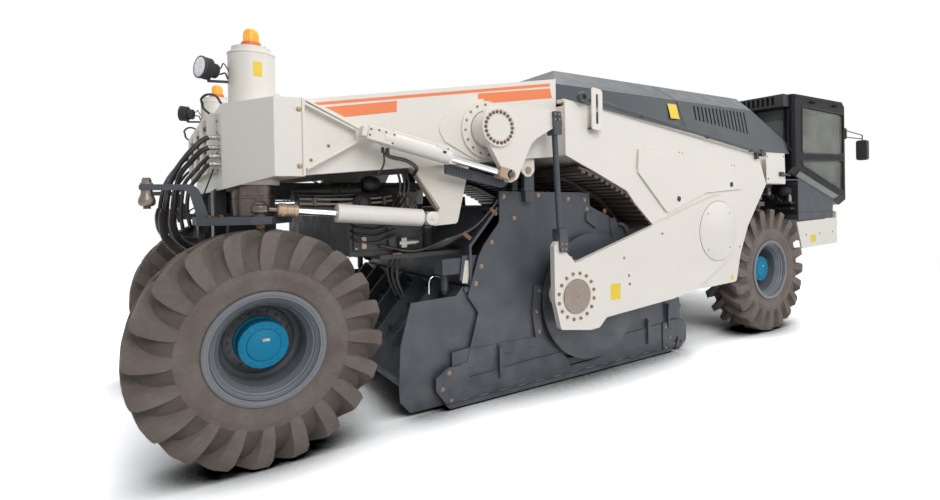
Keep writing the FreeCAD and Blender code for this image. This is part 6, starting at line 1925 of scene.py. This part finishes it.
# ---------------------------------------------------------------- cab
@dataclass
class CabTrim:
    """Seals, rails, brackets, mirror glass, seat and controls of the cab and the panels under it."""

    back: float = 6.185
    near_y: float = 1.450

    def build(self) -> None:
        """Makes everything in turn."""
        self._seals()
        self._sill()
        self._rails()
        self._roof()
        self._mirror()
        self._skirt()
        self._rear_gear()
        self._front_lamps()
        self._seat()
        self._controls()

    def _seals(self) -> None:
        """Round window seals and pane frames."""
        maker = Maker("window_seals")
        x = self.back
        upper = [(x + 0.195, 2.200), (x + 1.315, 2.215), (x + 1.330, 2.790), (x + 0.210, 2.820)]
        lower = [(x + 0.205, 2.045), (x + 1.305, 1.690), (x + 1.315, 2.140), (x + 0.195, 2.105)]
        for outline in (upper, lower):
            maker.outline_tube(outline, -self.near_y + 0.002, 0.012, 0.055)
        far = [(x + 0.325, 2.050), (x + 0.965, 2.050), (x + 0.965, 2.770), (x + 0.325, 2.770)]
        maker.done(SEAL_RUBBER, "frame")
        seal = Maker("cab_door_seals")
        seal.outline_tube(far, 0.385, 0.010, 0.05)
        seal.done(SEAL_RUBBER, "cab_door")
        rear = Maker("rear_window_seal")
        corners = [(-1.320, 2.260), (0.220, 2.260), (0.220, 2.790), (-1.320, 2.790)]
        path = [at(self.back - 0.001, y, z) for y, z in corners]
        rear.tube(path + [path[0]], 0.011, 8, smooth=False)
        rear.done(SEAL_RUBBER, "frame")

    def _sill(self) -> None:
        """The narrow pane in the slanted strip at the foot of the near wall."""
        pane = Maker("sill_pane")
        frame = Maker("sill_frame")
        fall = (1.508 - 1.950) / 1.375
        out = Vector((0, -0.087, -0.100)).normalized()
        corners = []
        for x, share in ((6.36, 0.14), (7.34, 0.14), (7.40, 0.88), (6.33, 0.88)):
            z = 1.950 + fall * (x - self.back)
            corners.append(at(x, -self.near_y + 0.100 * (1 - share), z + 0.087 * share) + out * 0.002)
        pane.panel(corners, out * -0.004)
        pane.done(PANE_PALE, "frame")
        frame.tube([c + out * 0.001 for c in corners] + [corners[0] + out * 0.001], 0.006, 6, smooth=False)
        frame.done(SEAL_RUBBER, "frame")

    def _rails(self) -> None:
        """Grab rails at the cab's rear and front corners."""
        maker = Maker("grab_rails")
        x = self.back
        maker.tube([at(x, -1.39, 2.765), at(x - 0.035, -1.40, 2.755), at(x - 0.045, -1.40, 2.70),
                    at(x - 0.045, -1.39, 2.50), at(x - 0.045, -1.40, 2.30), at(x - 0.035, -1.41, 2.245),
                    at(x, -1.41, 2.235)], 0.011, 10)
        maker.tube([at(7.578, -1.38, 2.70), at(7.600, -1.40, 2.68), at(7.605, -1.40, 2.45), at(7.600, -1.40, 2.24),
                    at(7.578, -1.38, 2.22)], 0.010, 10)
        maker.done(BLACK_PAINT, "frame")

    def _roof(self) -> None:
        """Lamp brackets over the near window, rain strip and roof rails."""
        maker = Maker("roof_brackets")
        for x in (6.650, 7.250):
            maker.block((x - 0.075, -1.4535, 2.880), (x + 0.075, -1.449, 2.898))
            maker.block((x - 0.045, -1.475, 2.872), (x - 0.020, -1.452, 2.898))
            maker.block((x + 0.020, -1.475, 2.872), (x + 0.045, -1.452, 2.898))
        maker.bar(at(6.22, -1.4515, 2.925), at(7.42, -1.4515, 2.925), 0.010, 0.006)
        maker.done(BLACK_PAINT, "frame", bevel=0.002)
        rail = Maker("roof_rails")
        for y in (-1.20, 0.14):
            rail.tube([at(6.30, y, 2.945), at(6.32, y, 2.955), at(7.30, y, 2.955), at(7.32, y, 2.945)], 0.004, 8)
        rail.done(BLACK_PAINT, "frame")

    def _mirror(self) -> None:
        """Mirror glass, which faces the rear, and the arms' clamps."""
        glass = Maker("mirror_pane")
        y = -1.500
        glass.block((7.9405, y - 0.062, 2.166), (7.9435, y + 0.062, 2.428))
        clamp = Maker("mirror_clamps")
        clamp.block((7.525, -1.474, 2.455), (7.560, -1.449, 2.585))
        clamp.done(BLACK_PLASTIC, "frame", bevel=0.003)
        glass.done(MIRROR_SKIN, "frame")

    def _skirt(self) -> None:
        """Seams, screws and blank plates of the console and the bumper under the cab."""
        seam = Maker("console_seams")
        plate = Maker("bumper_plates")
        bolts = Maker("bumper_screws")
        for side in SIDES:
            seam.bar(at(6.402, side * 1.3808, 1.428), at(7.328, side * 1.3808, 1.424), 0.005, 0.002)
            if side < 0:
                plate.plate([(6.662, 1.023), (6.798, 1.023), (6.798, 1.120), (6.662, 1.120)], side * 1.4002,
                            side * 1.4012)
            for x, z in ((6.545, 1.128), (6.896, 1.129), (7.251, 1.137)):
                bolts.bolt(at(x, side * 1.4002, z), Vector((0, side, 0)), 0.009, 0.006)
        seam.done(SEAL_RUBBER, "frame")
        plate.done(LABEL, "frame")
        bolts.done(ZINC, "frame")

    def _rear_gear(self) -> None:
        """Dark cover, mounts, a small cylinder and hoses on the console's rear face."""
        cover = Maker("console_back_covers")
        mount = Maker("console_mounts")
        plated = Maker("console_cylinders")
        hose = Maker("console_hoses")
        face = 6.402
        back = Vector((-1, 0, 0))
        for side in SIDES:
            cover.block((face - 0.006, side * 0.080, 1.400), (face, side * 1.372, 1.790))
            for z in (1.470, 1.545):
                cover.block((6.290, side * 1.130, z), (face, side * 1.340, z + 0.026))
            for y, z, r in ((1.215, 1.715, 0.074), (1.050, 1.640, 0.050)):
                mount.lathe([(r, 0.0), (r + 0.006, 0.012), (r * 0.86, 0.022), (r * 0.80, 0.050), (r * 0.92, 0.060),
                             (r * 0.86, 0.082), (r * 0.4, 0.096), (0.010, 0.098)], at(face - 0.006, side * y, z),
                            back, 32)
            plated.lathe([(0.024, 0.0), (0.024, 0.075), (0.018, 0.080), (0.018, 0.095)],
                         at(6.330, side * 1.300, 1.571), UP, 20)
            for n in range(3):
                y = side * (1.160 + 0.035 * n)
                hose.tube([at(face - 0.004, y, 1.640 - 0.03 * n), at(6.330, y, 1.630 - 0.03 * n),
                           at(6.300, y, 1.590 - 0.02 * n), at(6.330, y - side * 0.02, 1.575),
                           at(face - 0.004, y - side * 0.03, 1.580)], 0.0100, 10)
        cover.done(SEAL_RUBBER, "frame", bevel=0.003)
        mount.done(BLACK_PLASTIC, "frame")
        plated.done(PLATED, "frame")
        hose.done(HOSE, "frame")

    def _front_lamps(self) -> None:
        """Round headlamps in the bumper's face, and the wiper of the front window."""
        bezel = Maker("headlamp_bezels")
        lens = Maker("headlamp_lenses")
        ahead = ALONG
        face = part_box("bumper")[1].x
        for side in SIDES:
            for y, r in ((1.130, 0.078), (0.950, 0.060)):
                spot = Vector((face, side * y, 1.205))
                bezel.lathe([(r, 0.0), (r, 0.016), (r - 0.006, 0.020), (r - 0.012, 0.016), (r - 0.012, 0.0)], spot,
                            ahead, 40, ends=False)
                lens.lathe([(r - 0.011, 0.0), (r - 0.013, 0.011), (r * 0.5, 0.016), (0.001, 0.018)], spot, ahead, 40)
        bezel.done(BLACK_PLASTIC, "frame")
        lens.done(LAMP_GLASS, "frame")
        wiper = Maker("window_wiper")
        x = self.back + 1.3965
        wiper.lathe([(0.022, 0.0), (0.022, 0.016), (0.012, 0.022)], at(x, -0.560, 1.800), ahead, 20)
        wiper.bar(at(x + 0.014, -0.560, 1.800), at(x + 0.016, -0.860, 2.300), 0.012, 0.008)
        wiper.bar(at(x + 0.008, -0.860, 2.020), at(x + 0.008, -0.860, 2.560), 0.016, 0.008)
        wiper.done(BLACK_PLASTIC, "frame")

    def _seat(self) -> None:
        """Cushion, back and armrests over the plain seat block."""
        seat = Maker("seat_cushions")
        seat.block((6.42, -0.79, 2.23), (6.94, -0.31, 2.33))
        seat.block((6.385, -0.78, 2.32), (6.475, -0.32, 2.795))
        seat.block((6.52, -0.845, 2.42), (6.86, -0.80, 2.47))
        seat.block((6.52, -0.300, 2.42), (6.86, -0.255, 2.47))
        seat.done(FABRIC, "frame", bevel=0.02)

    def _controls(self) -> None:
        """Steering wheel, its hub and its column."""
        maker = Maker("steering_wheel")
        centre = at(7.13, -0.55, 2.34)
        axis = Vector((-0.5, 0, 0.86)).normalized()
        frame = UP.rotation_difference(axis).to_matrix()
        ring = [centre + frame @ Vector((0.20 * math.cos(a), 0.20 * math.sin(a), 0))
                for a in [2 * math.pi * i / 32 for i in range(33)]]
        maker.tube(ring, 0.013, 8, smooth=False)
        for i in range(3):
            a = 2 * math.pi * i / 3 + math.pi / 2
            maker.tube([centre, centre + frame @ Vector((0.2 * math.cos(a), 0.2 * math.sin(a), 0))], 0.010, 8)
        maker.lathe([(0.045, -0.03), (0.045, 0.01), (0.03, 0.018)], centre, axis, 20)
        maker.tube([centre, centre - axis * 0.12], 0.02, 10)
        maker.done(BLACK_PLASTIC, "frame")


# ---------------------------------------------------------------- studio
@dataclass
class Studio:
    """Floor, lamps, white surroundings and the camera."""

    lens: float = 20.862
    shift: Pair = (-0.0658, -0.0498)
    eye: Point = (-0.613, -5.190, 1.660)
    yaw: float = 54.583
    pitch: float = -0.383
    roll: float = -1.012
    floor_size: float = 60.0

    def build(self) -> None:
        """Sets the stage up."""
        self._camera()
        self._floor()
        self._world()
        self._lamps()

    def _camera(self) -> None:
        """Places the camera at the side of the rear wheel."""
        data = bpy.data.cameras.new("camera")
        data.sensor_width = 36.0
        data.lens = self.lens
        data.shift_x, data.shift_y = self.shift
        data.clip_end = 200.0
        camera = bpy.data.objects.new("camera", data)
        bpy.context.scene.collection.objects.link(camera)
        yaw, pitch, roll = (math.radians(a) for a in (self.yaw, self.pitch, self.roll))
        ahead = Vector((math.cos(pitch) * math.cos(yaw), math.cos(pitch) * math.sin(yaw), math.sin(pitch)))
        right = ahead.cross(UP).normalized()
        up = right.cross(ahead)
        level = right * math.cos(roll) + up * math.sin(roll)
        top = up * math.cos(roll) - right * math.sin(roll)
        turn = Matrix((level, top, -ahead)).transposed().to_4x4()
        camera.matrix_world = Matrix.Translation(at(*self.eye)) @ turn
        bpy.context.scene.camera = camera

    def _floor(self) -> None:
        """A pale floor that keeps the machine's shadow, with painted shade added near and under the machine, and looks
        white to the camera.
        """
        mesh = bpy.data.meshes.new("floor")
        half = self.floor_size / 2
        mesh.from_pydata([(-half, -half, 0), (half, -half, 0), (half, half, 0), (-half, half, 0)], [], [(0, 1, 2, 3)])
        floor = bpy.data.objects.new("floor", mesh)
        bpy.context.scene.collection.objects.link(floor)
        mat = bpy.data.materials.new("floor_pale")
        mat.use_nodes = True
        shader = mat.node_tree.nodes["Principled BSDF"]
        shader.inputs["Base Color"].default_value = (0.46, 0.46, 0.46, 1.0)
        shader.inputs["Roughness"].default_value = 0.9
        shader.inputs["Specular IOR Level"].default_value = 0.1
        self._bleach_and_shade(mat.node_tree, shader)
        mesh.materials.append(mat)

    def _bleach_and_shade(self, tree: bpy.types.NodeTree, shader: bpy.types.Node) -> None:
        """Lifts the floor to white where it is seen, keeping the machine's own shadow and adding painted shade near and
        under the machine from an ambient-occlusion node.

        Args:
            tree: The floor's node tree.
            shader: The floor's plain shader.
        """
        out = tree.nodes["Material Output"]
        # Painted shade: ambient occlusion darkens the seen floor near and under the machine, as a contact shadow.
        painted_contact_shade = tree.nodes.new("ShaderNodeAmbientOcclusion")
        painted_contact_shade.samples = 8
        painted_contact_shade.inputs["Distance"].default_value = 0.95
        depth = tree.nodes.new("ShaderNodeMapRange")
        depth.inputs["From Min"].default_value = 0.42
        depth.inputs["From Max"].default_value = 0.92
        depth.inputs["To Max"].default_value = 2.3
        near = tree.nodes.new("ShaderNodeBsdfDiffuse")
        tree.links.new(painted_contact_shade.outputs["AO"], depth.inputs["Value"])
        tree.links.new(depth.outputs["Result"], near.inputs["Color"])
        white = tree.nodes.new("ShaderNodeEmission")
        white.inputs["Strength"].default_value = 1.0
        place = tree.nodes.new("ShaderNodeTexCoord")
        length = tree.nodes.new("ShaderNodeVectorMath")
        length.operation = "LENGTH"
        fade = tree.nodes.new("ShaderNodeMapRange")
        fade.inputs["From Min"].default_value = 5.5
        fade.inputs["From Max"].default_value = 9.0
        seen = tree.nodes.new("ShaderNodeMixShader")
        pick = tree.nodes.new("ShaderNodeMixShader")
        tree.links.new(place.outputs["Object"], length.inputs[0])
        tree.links.new(length.outputs["Value"], fade.inputs["Value"])
        tree.links.new(fade.outputs["Result"], seen.inputs["Fac"])
        tree.links.new(near.outputs["BSDF"], seen.inputs[1])
        tree.links.new(white.outputs["Emission"], seen.inputs[2])
        tree.links.new(self._watched(tree), pick.inputs["Fac"])
        tree.links.new(shader.outputs["BSDF"], pick.inputs[1])
        tree.links.new(seen.outputs["Shader"], pick.inputs[2])
        tree.links.new(pick.outputs["Shader"], out.inputs["Surface"])

    def _watched(self, tree: bpy.types.NodeTree) -> bpy.types.NodeSocket:
        """Tells rays that show the surroundings from rays that light the machine.

        Args:
            tree: Node tree that needs the answer.

        Returns:
            A socket that is 1 for camera, glossy and transmission rays.
        """
        path = tree.nodes.new("ShaderNodeLightPath")
        first = tree.nodes.new("ShaderNodeMath")
        first.operation = "MAXIMUM"
        second = tree.nodes.new("ShaderNodeMath")
        second.operation = "MAXIMUM"
        tree.links.new(path.outputs["Is Camera Ray"], first.inputs[0])
        tree.links.new(path.outputs["Is Transmission Ray"], first.inputs[1])
        tree.links.new(first.outputs["Value"], second.inputs[0])
        tree.links.new(path.outputs["Is Glossy Ray"], second.inputs[1])
        return second.outputs["Value"]

    def _world(self) -> None:
        """A white surround that also shows in gloss and glass."""
        world = bpy.data.worlds.new("studio")
        world.use_nodes = True
        tree = world.node_tree
        tree.nodes.clear()
        light = tree.nodes.new("ShaderNodeBackground")
        light.inputs["Color"].default_value = (0.93, 0.96, 1.0, 1.0)
        light.inputs["Strength"].default_value = 0.50
        seen = tree.nodes.new("ShaderNodeBackground")
        seen.inputs["Color"].default_value = (1.0, 1.0, 1.0, 1.0)
        mix = tree.nodes.new("ShaderNodeMixShader")
        out = tree.nodes.new("ShaderNodeOutputWorld")
        tree.links.new(self._watched(tree), mix.inputs["Fac"])
        tree.links.new(light.outputs["Background"], mix.inputs[1])
        tree.links.new(seen.outputs["Background"], mix.inputs[2])
        tree.links.new(mix.outputs["Shader"], out.inputs["Surface"])
        bpy.context.scene.world = world

    def _lamps(self) -> None:
        """A broad key lamp, a fill and a top lamp."""
        for name, place, aim, size, power in (
                ("key", (-2.4, -11.0, 8.5), (0.5, 0.0, 1.0), 7.0, 770.0),
                ("fill", (7.5, -8.0, 4.5), (0.5, 0.0, 1.2), 6.0, 140.0),
                ("top", (0.5, 1.0, 10.0), (0.5, 0.0, 0.0), 9.0, 420.0)):
            data = bpy.data.lights.new(name, "AREA")
            data.size = size
            data.energy = power
            lamp = bpy.data.objects.new(name, data)
            bpy.context.scene.collection.objects.link(lamp)
            lamp.location = place
            lamp.rotation_euler = (Vector(aim) - Vector(place)).to_track_quat("-Z", "Y").to_euler()


# ---------------------------------------------------------------- the CAD's own pieces
class Dress:
    """Gives the CAD nodes that stay their finishes."""

    BY_NODE: dict[str, Finish | Clear] = {"cab": BLACK_PAINT, "cab_door": BLACK_PAINT, "cab_glass": PANE_PAINTED_REFLECTION,
                                          "cab_door_pane": PANE_PAINTED_REFLECTION, "cab_inside": FABRIC, "ladder": SLATE,
                                          "roof_unit": BLACK_PLASTIC, "mirror": BLACK_PLASTIC,
                                          "engine_hood": SLATE_LIT, "engine": DARK_STEEL, "cooler": SLAT_BROWN,
                                          "chamber_sides": SLATE, "chamber_roof": SLATE, "chamber_hangers": SLATE,
                                          "skids": SLATE, "gate_rear": SLATE, "gate_front": SLATE,
                                          "seal_discs": SLATE, "rear_modules": DARK_STEEL,
                                          "valve_panel": CREAM_SOILED, "cab_platform": SLATE, "bumper": CREAM,
                                          "tow_bar": SLATE, "rotor": PICK_STEEL, "lift_rods": CHROME,
                                          "link_rods": SLATE, "lamps": BLACK_PLASTIC, "lift_barrels": CREAM,
                                          "service_door_near": CREAM, "service_door_far": CREAM, "rotor_arms": CREAM,
                                          "bell_cranks": CREAM, "steer_brackets": CREAM_SOILED,
                                          "lift_brackets": CREAM, "lift_columns": CREAM, "rear_frame": CREAM,
                                          "front_frame": CREAM}
    BY_START: tuple[tuple[str, Finish], ...] = (
        ("steer_rod", CHROME), ("steer_barrel", CREAM), ("tie_rod", SLATE), ("leg", SLATE), ("wheel", RIM_GREY),
        ("tyre", TYRE))

    def paint(self, nodes: dict[str, bpy.types.Object]) -> None:
        """Sets each node's material.

        Args:
            nodes: CAD objects by node name.
        """
        for name, node in nodes.items():
            finish = self.BY_NODE.get(name)
            if finish is None:
                finish = next((f for start, f in self.BY_START if name.startswith(start)), CREAM)
            for index in range(max(1, len(node.material_slots))):
                if node.material_slots:
                    node.material_slots[index].material = finish.material()
                else:
                    node.data.materials.append(finish.material())


def main() -> None:
    """Builds the scene round the CAD frame."""
    logging.basicConfig(level=logging.INFO, format="%(name)s: %(message)s")
    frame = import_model()
    bpy.context.scene.view_settings.view_transform = "Standard"
    Studio().build()
    Dress().paint(frame["nodes"])
    for part in (Tyres(), Wheels(), FrameDress(), RearEnd(), LiftGear(), EngineBay(), Chamber(), Modules(),
                 CabTrim()):
        part.build()


if __name__ == "__main__":
    main()
